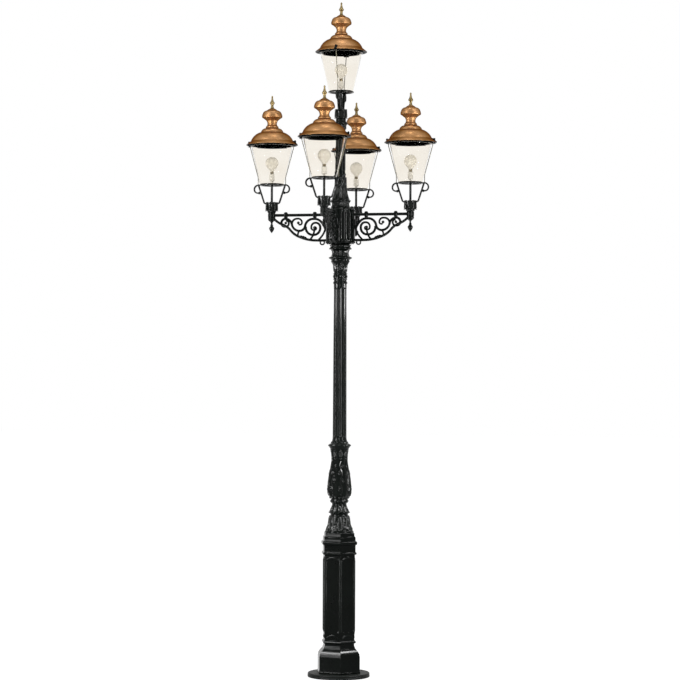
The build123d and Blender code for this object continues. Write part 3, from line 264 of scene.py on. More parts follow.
IRON = cast_paint("black_cast_iron", (0.0012, 0.0024, 0.0017), (0.0038, 0.0056, 0.0046),
                  smooth=0.08, rough=0.16, dust=0.05, shine=0.08)
RELIEF = cast_paint("black_relief_paint", (0.0015, 0.0026, 0.002), (0.005, 0.0068, 0.0056),
                    smooth=0.05, rough=0.1, dust=0.05, shine=0.18, grain=85.0, depth=0.0011)
LANTERN_PAINT = cast_paint("black_lantern_paint", (0.001, 0.0019, 0.0014), (0.003, 0.0046, 0.0038),
                           smooth=0.09, rough=0.17, dust=0.03, shine=0.12)
TRODDEN = cast_paint("black_worn_paint", (0.0016, 0.0026, 0.002), (0.005, 0.0066, 0.0056),
                     smooth=0.42, rough=0.55, dust=0.04, shine=0.09, depth=0.00025)
PAINT = cast_paint("black_gloss_paint", (0.0008, 0.0016, 0.0011), (0.002, 0.0034, 0.0026),
                   smooth=0.08, rough=0.15, dust=0.03, shine=0.06)
# Black paint of the roof's inside, its straps and nuts; on the inside it is also painted shade under the
# roof.
BLACK_PAINT_AND_SHADE = cast_paint("black_inside_paint_and_painted_shade", (0.0012, 0.0018, 0.0015), (0.003, 0.004, 0.0035),
                      smooth=0.2, rough=0.34, dust=0.0, shine=0.06)
# The third colour of each spun metal is painted shade, laid on where the metal is seen edge on or square to
# the view.
COPPER = spun_metal("spun_copper", (0.25, 0.128, 0.05), (0.38, 0.208, 0.098), (0.085, 0.038, 0.015),
                    smooth=0.38, rough=0.48)
BRASS = spun_metal("aged_brass", (0.13, 0.095, 0.038), (0.26, 0.20, 0.095), (0.045, 0.034, 0.016),
                   smooth=0.32, rough=0.46)
STAY = plated("dull_plated_rod", (0.075, 0.068, 0.048), (0.15, 0.138, 0.10), 0.35, 0.5)
STEEL = plated("galvanised_steel", (0.42, 0.43, 0.44), (0.62, 0.63, 0.64), 0.32, 0.5)
OPAL = plated("satin_lamp", (0.90, 0.87, 0.80), (0.94, 0.92, 0.86), 0.3, 0.42, 0.0,
              IOR=1.1, Transmission_Weight=0.6)
CAP_METAL = plated("lamp_cap", (0.20, 0.17, 0.12), (0.34, 0.30, 0.22), 0.3, 0.45)
PORCELAIN = plated("porcelain", (0.74, 0.72, 0.66), (0.81, 0.79, 0.74), 0.2, 0.3, 0.0)
BOX_PLASTIC = plated("box_plastic", (0.20, 0.21, 0.21), (0.26, 0.27, 0.27), 0.4, 0.6, 0.0)
GLASS = shade_glass()
FINISHES = {
    "iron": IRON, "door_paint": IRON, "lantern_paint": LANTERN_PAINT, "bolt_paint": IRON, "tube_steel": STEEL,
    "bright_steel": STEEL, "stay_steel": STAY, "copper": COPPER, "brass": BRASS, "shade_glass": GLASS,
    "lamp_glass": OPAL, "porcelain": PORCELAIN, "box_plastic": BOX_PLASTIC,
}


# Modelling


def rounded(points):
    """Profile points; a third value bows the run that ends there, outward as it climbs."""
    path = [Vector((points[0][0], points[0][1]))]
    for point in points[1:]:
        start, end = path[-1], Vector((point[0], point[1]))
        bow = point[2] if len(point) > 2 else 0
        if bow:
            run = end - start
            right = Vector((run.y, -run.x)).normalized()
            steps = max(4, min(26, int(run.length / 3.6)))
            for k in range(1, steps):
                t = k / steps
                path.append(start + run * t + right * 4 * bow * t * (1 - t))
        path.append(end)
    return path


def lathe(points, steps=64, turn=0.0, closed=False):
    """A profile spun right round the Z axis."""
    bm = bmesh.new()
    line = [bm.verts.new((p.x, 0, p.y)) for p in rounded(points)]
    for ends in zip(line, line[1:] + (line[:1] if closed else [])):
        bm.edges.new(ends)
    bmesh.ops.spin(bm, geom=bm.verts[:] + bm.edges[:], cent=(0, 0, 0), axis=(0, 0, 1), angle=tau,
                   steps=steps, use_merge=True)
    bmesh.ops.remove_doubles(bm, verts=bm.verts, dist=0.001)
    bmesh.ops.rotate(bm, verts=bm.verts, cent=(0, 0, 0), matrix=Matrix.Rotation(turn, 3, "Z"))
    bmesh.ops.recalc_face_normals(bm, faces=bm.faces)
    return bm


def bored(profile, steps=72, bore=BORE):
    """A casting with an outer profile and a straight way through it."""
    return lathe([(bore, profile[0][1])] + profile + [(bore, profile[-1][1])], steps, closed=True)


def tube(inner, outer, low, high, steps=20):
    return lathe([(inner, low), (outer, low), (outer, high), (inner, high)], steps, closed=True)


def joined(target, *others):
    """Add the meshes of others to target and free them."""
    for other in others:
        mesh = bpy.data.meshes.new("part")
        other.to_mesh(mesh)
        target.from_mesh(mesh)
        bpy.data.meshes.remove(mesh)
        other.free()
    return target


def moved(bm, matrix):
    bmesh.ops.transform(bm, matrix=matrix, verts=bm.verts)
    return bm


def shift(x, y, z):
    return Matrix.Translation((x, y, z))


def spin(angle, axis="Z"):
    return Matrix.Rotation(angle, 4, axis)


def around(bm, count, turn=0.0):
    """Copies of a mesh round the Z axis, as one mesh."""
    whole = bmesh.new()
    for k in range(count):
        joined(whole, moved(bm.copy(), spin(turn + tau * k / count)))
    bm.free()
    return whole


def ball(radius, at=(0, 0, 0), stretch=(1, 1, 1), detail=2):
    bm = bmesh.new()
    bmesh.ops.create_icosphere(bm, subdivisions=detail, radius=radius)
    bmesh.ops.scale(bm, vec=stretch, verts=bm.verts)
    bmesh.ops.translate(bm, vec=at, verts=bm.verts)
    return bm


def slab(low, high):
    """A box between two corners."""
    bm = bmesh.new()
    bmesh.ops.create_cube(bm, size=1)
    size = Vector(high) - Vector(low)
    bmesh.ops.scale(bm, vec=size, verts=bm.verts)
    bmesh.ops.translate(bm, vec=Vector(low) + size / 2, verts=bm.verts)
    return bm


def eased(bm, width):
    """Round all the edges of a small block."""
    bmesh.ops.bevel(bm, geom=bm.edges[:], offset=width, offset_type="OFFSET", segments=2, profile=0.5,
                    affect="EDGES", material=-1)
    return bm


def corners(geom):
    return [g for g in geom if isinstance(g, bmesh.types.BMVert)]


def prism(points, half):
    """A flat outline in the plane of X and Z with an even thickness along Y."""
    bm = bmesh.new()
    face = bm.faces.new([bm.verts.new((x, -half, z)) for x, z in points])
    grown = bmesh.ops.extrude_face_region(bm, geom=[face])["geom"]
    bmesh.ops.translate(bm, vec=(0, 2 * half, 0), verts=corners(grown))
    bmesh.ops.recalc_face_normals(bm, faces=bm.faces)
    return bm


def arc_path(stations, step=4.0):
    """Points along arcs through stations: end, middle, end, middle, end and so on."""
    path = []
    for a, b, c in zip(stations[0::2], stations[1::2], stations[2::2]):
        a, b, c = Vector(a), Vector(b), Vector(c)
        span = (b - a).length + (c - b).length
        cross = (b.x - a.x) * (c.y - a.y) - (b.y - a.y) * (c.x - a.x)
        count = max(3, int(span / step))
        if abs(cross) < 1e-6 * span * span:
            path += [a + (c - a) * k / count for k in range(count)]
            continue
        d = 2 * (a.x * (b.y - c.y) + b.x * (c.y - a.y) + c.x * (a.y - b.y))
        ux = (a.length_squared * (b.y - c.y) + b.length_squared * (c.y - a.y)
              + c.length_squared * (a.y - b.y)) / d
        uy = (a.length_squared * (c.x - b.x) + b.length_squared * (a.x - c.x)
              + c.length_squared * (b.x - a.x)) / d
        centre = Vector((ux, uy))
        radius = (a - centre).length
        begin = atan2(a.y - uy, a.x - ux)
        finish = atan2(c.y - uy, c.x - ux)
        sweep = (finish - begin) % tau
        if cross < 0:
            sweep -= tau
        path += [centre + radius * Vector((cos(begin + sweep * k / count), sin(begin + sweep * k / count)))
                 for k in range(count)]
    path.append(Vector(stations[-1]))
    return path


def swept(path, half_width, half_depth, sides=10, square=0.6):
    """A bar along a path in the plane of X and Z; its section runs from round (1) to square (0)."""
    count = len(path)
    width = half_width if callable(half_width) else (lambda t: half_width)
    depth = half_depth if callable(half_depth) else (lambda t: half_depth)
    bm = bmesh.new()
    ring = bmesh.ops.create_circle(bm, segments=sides, radius=1)["verts"]
    for v in ring:
        v.co = Vector([abs(c) ** square * (1 if c > 0 else -1) if abs(c) > 1e-9 else 0 for c in v.co])
    last = Matrix.Identity(4)
    edges = bm.edges[:]
    for k, point in enumerate(path):
        before, after = path[max(k - 1, 0)], path[min(k + 1, count - 1)]
        run = Vector((after.x - before.x, 0, after.y - before.y)).normalized()
        side = Vector((run.z, 0, -run.x))
        t = k / (count - 1)
        frame_at = Matrix((
            (side.x * width(t), 0, run.x, point.x),
            (0, depth(t), 0, 0),
            (side.z * width(t), 0, run.z, point.y),
            (0, 0, 0, 1)))
        if k:
            grown = bmesh.ops.extrude_edge_only(bm, edges=edges)["geom"]
            ring = corners(grown)
            edges = [g for g in grown if isinstance(g, bmesh.types.BMEdge) and g.is_boundary
                     and g.verts[0] in ring and g.verts[1] in ring]
        bmesh.ops.transform(bm, matrix=frame_at @ last.inverted(), verts=ring)
        last = frame_at
    bmesh.ops.holes_fill(bm, edges=[e for e in bm.edges if e.is_boundary])
    bmesh.ops.recalc_face_normals(bm, faces=bm.faces)
    return bm


def leaf(width, height, relief, lobes=4, curl=0.0, across=8, along=16, thickness=2.0):
    """A lobed leaf standing on Z = 0, facing +X, with a sunk midrib, side veins and a curling tip."""
    bm = bmesh.new()
    bmesh.ops.create_grid(bm, x_segments=across, y_segments=along, size=0.5)
    for v in bm.verts:
        s, t = 2 * v.co.x, v.co.y + 0.5
        body = sin(pi * min(1.0, t * 0.94 + 0.06) ** 0.75) ** 0.6 if t < 0.999 else 0.02
        edge = 1 + 0.16 * cos(tau * lobes * t) * abs(s) ** 2
        half = width / 2 * max(body, 0.02) * edge
        crown = (1 - s * s) ** 0.5 if abs(s) < 1 else 0
        vein = 0.28 * cos(tau * lobes * (t - 0.16 * abs(s))) * abs(s)
        rib = -0.45 * max(0.0, 1 - abs(s) * 4)
        out = relief * (0.25 + 0.75 * crown + vein * 0.5 + rib * 0.5) + curl * max(0.0, t - 0.6) ** 2 / 0.16
        drop = -0.35 * curl * max(0.0, t - 0.85) / 0.15
        v.co = Vector((out, s * half, t * height + drop))
    bmesh.ops.recalc_face_normals(bm, faces=bm.faces)
    if sum(f.normal.x for f in bm.faces) < 0:
        bmesh.ops.reverse_faces(bm, faces=bm.faces)
    bmesh.ops.solidify(bm, geom=bm.faces[:], thickness=thickness)
    bmesh.ops.recalc_face_normals(bm, faces=bm.faces)
    return bm


def wrapped(bm, radius_at):
    """Lay a flat ornament (X out, Y across, Z up) round the axis on a turned surface."""
    for v in bm.verts:
        radius = radius_at(v.co.z)
        angle = v.co.y / radius
        reach = radius + v.co.x
        v.co = Vector((reach * cos(angle), reach * sin(angle), v.co.z))
    return bm


def leaf_on(radius_at, inset, foot, *form, **options):
    """A leaf laid on a turned surface, its back sunk by inset and its foot at a height."""
    return wrapped(moved(leaf(*form, **options), shift(-inset, 0, foot)), radius_at)


def leaning(points):
    """Radius of a profile at a height, for laying ornaments on it."""
    path = sorted(((p.y, p.x) for p in rounded(points)))

    def radius_at(z):
        for (z0, r0), (z1, r1) in zip(path, path[1:]):
            if z0 <= z <= z1 and z1 > z0:
                return r0 + (r1 - r0) * (z - z0) / (z1 - z0)
        return path[0][1] if z < path[0][0] else path[-1][1]
    return radius_at


def finished(bm, name, body, slot, *materials, stands_for, bevel=0.0, sharp=32, place=None):
    """Turn a mesh in millimetres into a piece on its body, in the place of a node of the frame."""
    bmesh.ops.remove_doubles(bm, verts=bm.verts, dist=0.002)
    bmesh.ops.scale(bm, vec=(MM, MM, MM), verts=bm.verts)
    if place is not None:
        layer = bm.verts.layers.float_vector.new("place")
        for v in bm.verts:
            v[layer] = v.co
        bmesh.ops.transform(bm, matrix=place, verts=bm.verts)
    mesh = bpy.data.meshes.new(name)
    bm.to_mesh(mesh)
    bm.free()
    mesh.shade_smooth()
    mesh.set_sharp_from_angle(angle=radians(sharp))
    for material in materials or (FINISHES[slot],):
        mesh.materials.append(material)
    piece = bpy.data.objects.new(name, mesh)
    scene.collection.objects.link(piece)
    if bevel:
        softened(piece, bevel, sharp)
    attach(piece, body)
    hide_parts(*stands_for)


def softened(piece, width, sharp):
    edge = piece.modifiers.new("edges", "BEVEL")
    edge.width = width * MM
    edge.segments = 2
    edge.limit_method = "ANGLE"
    edge.angle_limit = radians(sharp)


def from_cad(node, name, body, slot, bevel, *materials):
    """A copy of a frame node with its edges softened."""
    bm = bmesh.new()
    bm.from_mesh(frame["nodes"][node].data)
    bmesh.ops.remove_doubles(bm, verts=bm.verts, dist=1e-6)
    bmesh.ops.dissolve_limit(bm, angle_limit=radians(0.5), verts=bm.verts, edges=bm.edges)
    bmesh.ops.scale(bm, vec=(1 / MM,) * 3, verts=bm.verts)
    finished(bm, name, body, slot, *materials, stands_for=(node,), bevel=bevel, sharp=28)


def lantern_matrix(side):
    (x, y, z), turn = SIDES[side]
    return shift(x * MM, y * MM, z * MM) @ spin(radians(turn))


# Column


def hexagon(points):
    return lathe(points, steps=6, turn=PEDESTAL_TURN)


def plinth():
    return hexagon([
        (98, 30), (171.5, 30), (171.5, 39), (169, 43, 1), (167.5, 47), (167.5, 150), (166.5, 153),
        (164.5, 156), (164.5, 165), (130.5, 205, 2.5), (127, 217), (122.5, 236, -2), (122.5, 241),
        (128, 243.5), (134.5, 249, 1.2), (134.5, 255, 1.5), (129, 260, 1.2), (124, 263), (124, 268),
        (98, 268), (98, 30),
    ])


def cap():
    return hexagon([
        (62, 872), (125, 872), (128, 876), (137, 879), (139, 882, 0.6), (139, 888), (137, 891, 0.6),
        (131, 895), (130, 899), (130, 941), (133, 946), (141, 950), (143, 953), (143, 964), (140, 969, 0.8),
        (132, 973), (130, 978), (130, 1000), (127, 1004), (123, 1006), (121, 1011), (120.5, 1028),
        (117, 1033, 1), (113, PEDESTAL_TOP), (62, PEDESTAL_TOP), (62, 872),
    ])


BELL = [
    (104, PEDESTAL_TOP), (104, 1042), (100, 1046, 1), (94, 1048), (92.5, 1054), (92.5, 1064), (90, 1068),
    (84, 1080, -1), (79, 1096, -1), (75.5, 1122), (72, 1138), (65, 1152, 1.5), (63, 1160), (64, 1166),
    (72, 1172), (77.5, 1175, 0.5), (77.5, 1179), (73, 1182, 0.5), (68, 1186), (66.5, 1194),
    (60, 1208, -1.5), (53, 1222, -1), (52, 1238), (54, 1243), (60, 1247, 1), (64.5, 1255, 2),
    (63.5, 1266, 1), (61, 1270), (61, BELL_TOP),
]


def bell():
    body = bored(BELL)
    skin = leaning(BELL)
    tall = leaf_on(skin, 4.5, 1049, 44, 106, 9, 4, 1.5)
    short = leaf_on(skin, 4, 1048, 30, 64, 8, 3, 1)
    neck = leaf_on(skin, 3, 1184, 27, 42, 6, 3, 1, thickness=1.5)
    berry = ball(5.0, (76.5, 0, 1112), (0.7, 1, 1))
    between = PEDESTAL_TURN + pi / 8
    return body, joined(
        around(tall, 8, PEDESTAL_TURN), around(short, 8, between), around(neck, 10, PEDESTAL_TURN),
        around(berry, 8, between), around(ball(3.6, (73.5, 0, 1136), (0.7, 1, 1)), 8, between),
        around(ball(4.2, (63.5, 0, 1258)), 20))


def foliage():
    """Climbing scroll on one face of the urn, drawn in the plane of Y and Z and facing +X."""
    stem = [Vector((9 * sin(tau * (z - 1316) / 112), z)) for z in range(1316, 1546, 6)]
    whole = swept(stem, lambda t: 4.2 - 1.8 * t, 5.0, sides=8, square=1)
    for k, z in enumerate((1336, 1392, 1448, 1498)):
        side = 1 if k % 2 else -1
        size = 1 - 0.11 * k
        curl = []
        for j in range(22):
            turn = 0.5 * pi + 0.25 * pi * j / 2.2
            radius = (18 - 0.62 * j) * size
            curl.append(Vector((side * (13 * size + radius * cos(turn)), z + 10 + radius * sin(turn))))
        joined(whole, swept(curl, lambda t: 3.6 - 1.4 * t, 4.6, sides=8, square=1),
               ball(5.4 * size, (side * 13 * size, 0, z + 10)))
        for tilt, reach in ((48, 25), (95, 20), (8, 22), (-40, 20)):
            small = moved(leaf(14 * size, reach * size, 4.4, 2, 1.5, 5, 9, 1.6), spin(radians(-90)))
            turned = spin(radians(tilt * side), "Y")
            joined(whole, moved(small, shift(side * 6, 0, z + 14) @ turned))
    joined(whole, ball(8.5, (0, 0, 1563), (1, 0.6, 1)), ball(5.5, (0, 0, 1305), (1, 0.7, 1)))
    top = moved(leaf(31, 52, 5, 3, 2, thickness=1.4), spin(radians(-90)))
    joined(whole, moved(top, shift(0, 0, 1576)))
    return moved(whole, spin(radians(90)))


URN = [
    (61, BELL_TOP), (64, 1276), (65, 1282), (71, 1287), (80.4, 1293, 1), (86.5, 1306, 1.2),
    (89.4, 1330, 1.5), (88.6, 1350, 0.6), (80.4, 1436, 1.6), (74.7, 1465, 0.8), (67.5, 1495, 0.5),
    (60.6, 1560, -2.4), (60.5, 1580, -0.4), (64.5, 1612, -1), (68, 1632, -0.6),
]


def urn():
    body = bored(URN, 8)
    collar = bored([
        (62, 1622), (66, 1630), (70, 1638, -1), (74, 1646), (82, 1654), (83.5, 1658, 0.5), (82, 1662),
        (76, 1666, -1), (66, 1671), (62, 1674), (60, 1678), (58.5, 1684), (56, 1687), (54.5, URN_TOP),
    ])
    skin = leaning(URN)
    flat = cos(radians(22.5))
    relief = foliage()
    for v in relief.verts:
        v.co.x += skin(v.co.z) * flat - 0.6
    relief = joined(around(relief, 8, radians(22.5)), around(ball(4.6, (59.5, 0, 1679)), 16),
                    around(ball(1, (68.5, 0, 1286), (4.5, 9, 11)), 16, radians(11.25)))
    return joined(body, collar), relief


def fluted():
    """Tapering shaft: twelve flutes with sharp arrises and rounded stops."""
    low, high, count, depth, stop_length = 1716, 2792, 12, 6.2, 13
    foot, foot_radius, narrowing, rise = 1703, 50.7, 4.2, 1115
    stations = [low - 6, low, low + 2, low + 5, low + 9, low + 14]
    stations += [low + 20 + (high - low - 40) * k / 14 for k in range(15)]
    stations += [high - 14, high - 9, high - 5, high - 2, high, high + 6]
    points = [(54, URN_TOP), (54, 1695), (52.5, 1699, -0.5), (foot_radius, foot)]
    points += [(foot_radius - narrowing * (z - foot) / rise, z) for z in stations]
    bm = bored(points + [(46.5, SHAFT_TOP)], count * 10)
    for v in bm.verts:
        radius = sqrt(v.co.x ** 2 + v.co.y ** 2)
        if radius > 40 and low - 1 < v.co.z < high + 1:
            angle = atan2(v.co.y, v.co.x) - PEDESTAL_TURN
            across = ((angle * count / tau) % 1.0) * 2 - 1
            stop = min(1.0, (v.co.z - low) / stop_length, (high - v.co.z) / stop_length)
            stop = sqrt(max(0.0, 1 - (1 - max(stop, 0)) ** 2))
            shrink = (radius - depth * sqrt(max(0.0, 1 - across * across)) * stop) / radius
            v.co.x *= shrink
            v.co.y *= shrink
    return bm


CAPITAL = [
    (48.5, SHAFT_TOP), (50.5, 2821), (51.5, 2826, 0.8), (50.5, 2832), (46.5, 2837), (45.4, 2848),
    (46, 2852), (48, 2855), (48, 2890), (45.5, 2895), (45, 2905), (45, 2914), (46.2, 2932, -0.5),
    (49.7, 2948, -0.5), (55.4, 2963, -0.6), (64, 2975, -1), (67, 2979), (65, 2986), (66, 2992), (78, 2999),
    (84, 3004, 0.5), (84, 3008), (78, 3012, 0.5), (66, 3017), (60, 3026, -1), (57.2, 3035),
    (59, 3056, -0.6), (66, 3063), (78, 3067), (82.4, 3070, 0.4), (82.4, 3073), (76, 3078), (71, 3084),
    (73, 3092), (78, 3097), (72, CAPITAL_TOP),
]


def capital():
    body = bored(CAPITAL)
    skin = leaning(CAPITAL)
    stone = wrapped(moved(ball(1, (0, 0, 0), (7, 13, 21), 3), shift(0, 0, 2926)), skin)
    setting = swept([Vector((15.5 * cos(tau * k / 28), 2926 + 23.5 * sin(tau * k / 28))) for k in range(29)],
                    1.5, 2.2, sides=6, square=1)
    setting = wrapped(moved(setting, spin(radians(90))), skin)
    spread = leaf_on(skin, 3.5, 2922, 30, 60, 8, 3, 1, thickness=1.6)
    low_leaf = leaf_on(skin, 3.5, 3018, 26, 44, 7, 3, 0.5, thickness=1.4)
    high_leaf = leaf_on(skin, 2, 3076, 26, 22, 5, 3, 0.5, thickness=1.4)
    front = radians(-77)
    return body, joined(
        around(stone, 6, front - radians(20)), around(setting, 6, front - radians(20)),
        around(spread, 6, front + radians(10)), around(low_leaf, 12, front), around(high_leaf, 10, front),
        around(ball(5.0, (49, 0, 2872), (0.8, 1, 1.9)), 18), around(ball(3.0, (48.5, 0, 2852)), 26),
        around(ball(3.0, (48.5, 0, 2892)), 26))


def hub():
    """Reeded drum between the arms, with a flared skirt and a leafy crest."""
    profile = [
        (62, CAPITAL_TOP), (66, 3104), (74, 3112, -1), (86, 3124, -1), (89, 3131, 0.8), (86, 3136),
        (78, 3140), (76, 3146), (76, 3344), (74, 3350), (70, 3354), (70, 3360), (66, HUB_TOP),
    ]
    body = bored(profile)
    reed = lathe([(0, 3138), (4, 3139), (7.5, 3144, 0.8), (7.5, 3328), (5.5, 3336, 0.8), (0, 3340, 0.8)], 16)
    reed = moved(reed, shift(76, 0, 0))
    thin = moved(lathe([(0, 3142), (3.2, 3146), (3.2, 3330), (0, 3334)], 10), shift(77, 0, 0))
    crest = leaf_on(lambda z: 76, 3, 3330, 32, 40, 7, 3, 3, thickness=1.8)
    petal = leaf_on(leaning(profile), 4, 3100, 30, 38, 7, 3, 1, thickness=1.6)
    relief = joined(around(reed, 12, radians(15)), around(thin, 12, radians(30)),
                    around(crest, 12, radians(15)), around(petal, 12, radians(15)))
    for quarter in range(4):
        pad = prism([(60, 3104), (80, 3104), (92, 3124), (92, 3350), (86, 3358), (60, 3358)], 23)
        joined(body, moved(pad, spin(quarter * pi / 2)))
    return body, relief


SPIRE_FOOT = [
    (64, HUB_TOP), (66, 3370), (66, 3374, 0.8), (60, 3380), (58, 3390), (60, 3402, -1), (66, 3412),
    (67, 3420, 1), (62, 3428), (55, 3434), (51, 3450), (43, 3496, -2), (37.5, 3560, -1), (35, 3596),
    (36, 3600), (38, 3606, 0.5), (37, 3612), (34, 3616), (33.5, SPIRE_FOOT_TOP),
]


def spire_foot():
    body = bored(SPIRE_FOOT, 64, 14)
    skin = leaning(SPIRE_FOOT)
    tall = leaf_on(skin, 3, 3432, 36, 156, 9, 6, 1.5)
    mid = leaf_on(skin, 3, 3430, 32, 100, 10, 4, 2)
    low = leaf_on(skin, 3, 3374, 30, 46, 9, 3, 3, thickness=1.6)
    bead = around(ball(4.4, (64, 0, 3424), (0.8, 1, 1)), 16)
    return body, joined(around(tall, 6, radians(15)), around(mid, 6, radians(45)), around(low, 10), bead)


def spire_tube():
    body = bored([
        (33, SPIRE_FOOT_TOP), (32.5, 3626), (32.5, 3928), (34, 3932), (36, 3938), (36, 3946, 0.8),
        (34, 3950), (36, 3958, -1), (44, 3966, -1), (47, 3971, 0.8), (47, 3979), (44, 3984, 0.8),
        (38, 3989, -1), (36.5, 3996), (36.5, 4004), (35, 4008), (35, SPIRE_TOP),
    ], 64, 8)
    bud = leaf_on(lambda z: 35, 0, 3934, 22, 34, 5, 3, 5, thickness=1.4)
    strip = moved(lathe([(0, 3634), (2.6, 3638), (2.6, 3916), (0, 3920)], 8), shift(32.4, 0, 0))
    beads = around(ball(3.4, (46.5, 0, 3975)), 24)
    return body, joined(around(bud, 10), around(strip, 8, radians(22.5)), beads)


def pedestal_trim():
    """Rolls down the six corners of the pedestal, cut off behind its wall, and its panels' arched stops."""
    roll = lathe([(0, 318), (7, 321, 1.2), (11.4, 330, 0.8), (12.2, 338), (12.2, 830), (11.4, 838),
                  (7, 847, 0.8), (0, 850, 1.2)], steps=20)
    inside, reach = -2.5, 116.2
    cut = bmesh.ops.bisect_plane(roll, geom=roll.verts[:] + roll.edges[:] + roll.faces[:],
                                 plane_co=(inside, 0, 0), plane_no=(1, 0, 0), clear_inner=True)
    bmesh.ops.contextual_create(roll, geom=[g for g in cut["geom_cut"] if isinstance(g, bmesh.types.BMEdge)])
    bmesh.ops.recalc_face_normals(roll, faces=roll.faces)
    whole = around(moved(roll, shift(reach, 0, 0)), 6, PEDESTAL_TURN)
    flat = cos(radians(30))
    for low, high, radius in ((282, 303, 124.4), (842, 857, 126.4)):
        stop = swept(arc_path([(-46, low), (0, high), (46, low)]), 5.2, 3.2, sides=12, square=1)
        moved(stop, shift(radius * flat, 0, 0) @ spin(pi / 2))
        joined(whole, around(stop, 6, PEDESTAL_TURN + radians(30)))
    return whole


def fit_column():
    for node, paint in (("base_plate", TRODDEN), ("pedestal_shaft", PAINT)):
        from_cad(node, node + "_cast", "post", "iron", 1.4, paint)
    finished(pedestal_trim(), "pedestal_trim", "post", "iron", stands_for=("pedestal_shaft",))
    for name, build, node in (("plinth_cast", plinth, "pedestal_plinth"), ("cap_cast", cap, "pedestal_cap")):
        finished(build(), name, "post", "iron", PAINT, stands_for=(node,), bevel=1.2)
    finished(fluted(), "fluted_cast", "post", "iron", stands_for=("fluted_shaft",))
    for name, build, node in (("bell", bell, "urn_foot"), ("urn", urn, "urn_baluster"),
                              ("capital", capital, "capital"), ("hub", hub, "arm_hub"),
                              ("spire_foot", spire_foot, "spire_foot"), ("spire", spire_tube, "spire_tube")):
        body, relief = build()
        finished(body, name + "_cast", "post", "iron", stands_for=(node,))
        finished(relief, name + "_relief", "post", "iron", RELIEF, stands_for=(node,))
    from_cad("service_door", "door_leaf", "door", "door_paint", 0.8)


# Arms


GREAT_BAND = [
    (112, 3214), (120, 3234), (147, 3272), (166, 3284), (197, 3289), (240, 3277), (262, 3241), (276, 3214),
    (302, 3204), (343, 3219), (361, 3252), (350, 3281), (320, 3292), (294, 3284), (286, 3264), (295, 3249),
    (310, 3251),
]
GREAT_VOLUTE = [
    (257, 3234), (243, 3191), (205, 3174), (165, 3187), (150, 3225), (160, 3252), (186, 3261), (208, 3252),
    (216, 3230), (210, 3213), (194, 3210),
]
SMALL_VOLUTE = [
    (360, 3246), (374, 3277), (406, 3292), (431, 3283), (439, 3261), (430, 3242), (407, 3236), (389, 3244),
    (384, 3261), (391, 3274), (405, 3277),
]
RAIL = [
    (492, 3291), (468, 3270), (436, 3253), (404, 3237), (378, 3217), (342, 3181), (298, 3158), (238, 3140),
    (176, 3134), (138, 3133), (104, 3134),
]


def bracket():
    whole = lathe([(0, 3274), (13, 3274), (20, 3277, 1), (24.5, 3284, 1), (27.5, 3289, 0.5), (27.5, 3296),
                   (25.5, 3298), (25.5, 3301), (27.5, 3303), (27.5, 3330), (25.5, 3332), (25.5, 3335),
                   (28, 3337), (31, 3341, 0.6), (31.5, SOCKET_TOP), (0, SOCKET_TOP)], steps=48)
    moved(whole, shift(ARM_REACH, 0, 0))
    plate = eased(prism([(92, 3104), (95, 3104), (104, 3122), (104, 3350), (99, 3358), (92, 3358)], 20), 2.5)
    bar = swept([Vector((x, 3318)) for x in (102, 300, 500)], 10.5, 10.5, sides=20, square=1)
    joined(whole, plate, bar)

    def taper(t):
        """Half width of a scroll's band, which thins over its last part."""
        return 8.8 - 2.6 * max(0.0, t - 0.55) / 0.45

    joined(
        whole,
        swept(arc_path(GREAT_BAND), taper, 5.6), swept(arc_path(GREAT_VOLUTE), taper, 5.6),
        swept(arc_path(SMALL_VOLUTE), taper, 5.6),
        swept(arc_path([(194, 3214), (203, 3172), (228, 3138)]), 7.0, 5.4),
        swept(arc_path([(108, 3284), (113, 3212), (160, 3140)]), 7.0, 5.6),
        swept(arc_path([(302, 3206), (313, 3190), (315, 3166)]), 6.4, 5.4),
        swept(arc_path(RAIL), 9.2, 6.8, sides=12, square=0.75))
    for x, z, radius in ((191, 3225, 12.5), (313, 3262, 10.5), (407, 3262, 10)):
        joined(whole, ball(radius, (x, 0, z), (1, 0.85, 1), 3))
        eye = lathe([(0, -8), (3, -8), (3, 8), (0, 8)], steps=12)
        joined(whole, moved(eye, shift(x, 0, z) @ spin(pi / 2, "X")))
    joined(whole, swept(arc_path([(196, 3211), (180, 3214), (184, 3230)]), 5.4, 5.0))
    ring = [Vector((134 + 15 * cos(tau * k / 32), 3118 + 15 * sin(tau * k / 32))) for k in range(33)]
    joined(whole, swept(ring, 5.2, 4.8))
    for middle, low in ((190, 3287), (406, 3291)):
        for z0, z1, half in ((3300, 3336, 12), (low, 3302, 7.5), (3294, 3300, 10), (3336, 3340, 9)):
            joined(whole, eased(slab((middle - half, -half, z0), (middle + half, half, z1)), 1.6))
    along = shift(248, 0, 3143) @ spin(radians(66), "Y")
    for facing in (0, 180):
        bud = moved(leaf(24, 64, 6, 4, 1.5, 6, 14, 1.8), spin(radians(90 + facing)))
        bud = moved(bud, shift(0, 3.5 if facing == 0 else -3.5, 0))
        joined(whole, moved(bud, along))
    core = moved(ball(1, (0, 0, 32), (8, 6.5, 30), 3), along)
    return joined(whole, core, ball(5.0, (262, 0, 3230)), ball(5.0, (300, 0, 3205)))


def pendant():
    return lathe([
        (0, 3189), (1.6, 3190), (3.4, 3194, 0.5), (15.5, 3213, 1.2), (18.5, 3222, 0.8), (17.5, 3229, 1),
        (12, 3236, 0.6), (9.5, 3239), (9.5, 3243), (11, 3245), (11, 3248, 0.6), (8, 3250), (7, 3254, -0.4),
        (7, 3264), (9, 3268), (12, 3270, -0.5), (12.5, 3274), (0, 3274),
    ], steps=32)


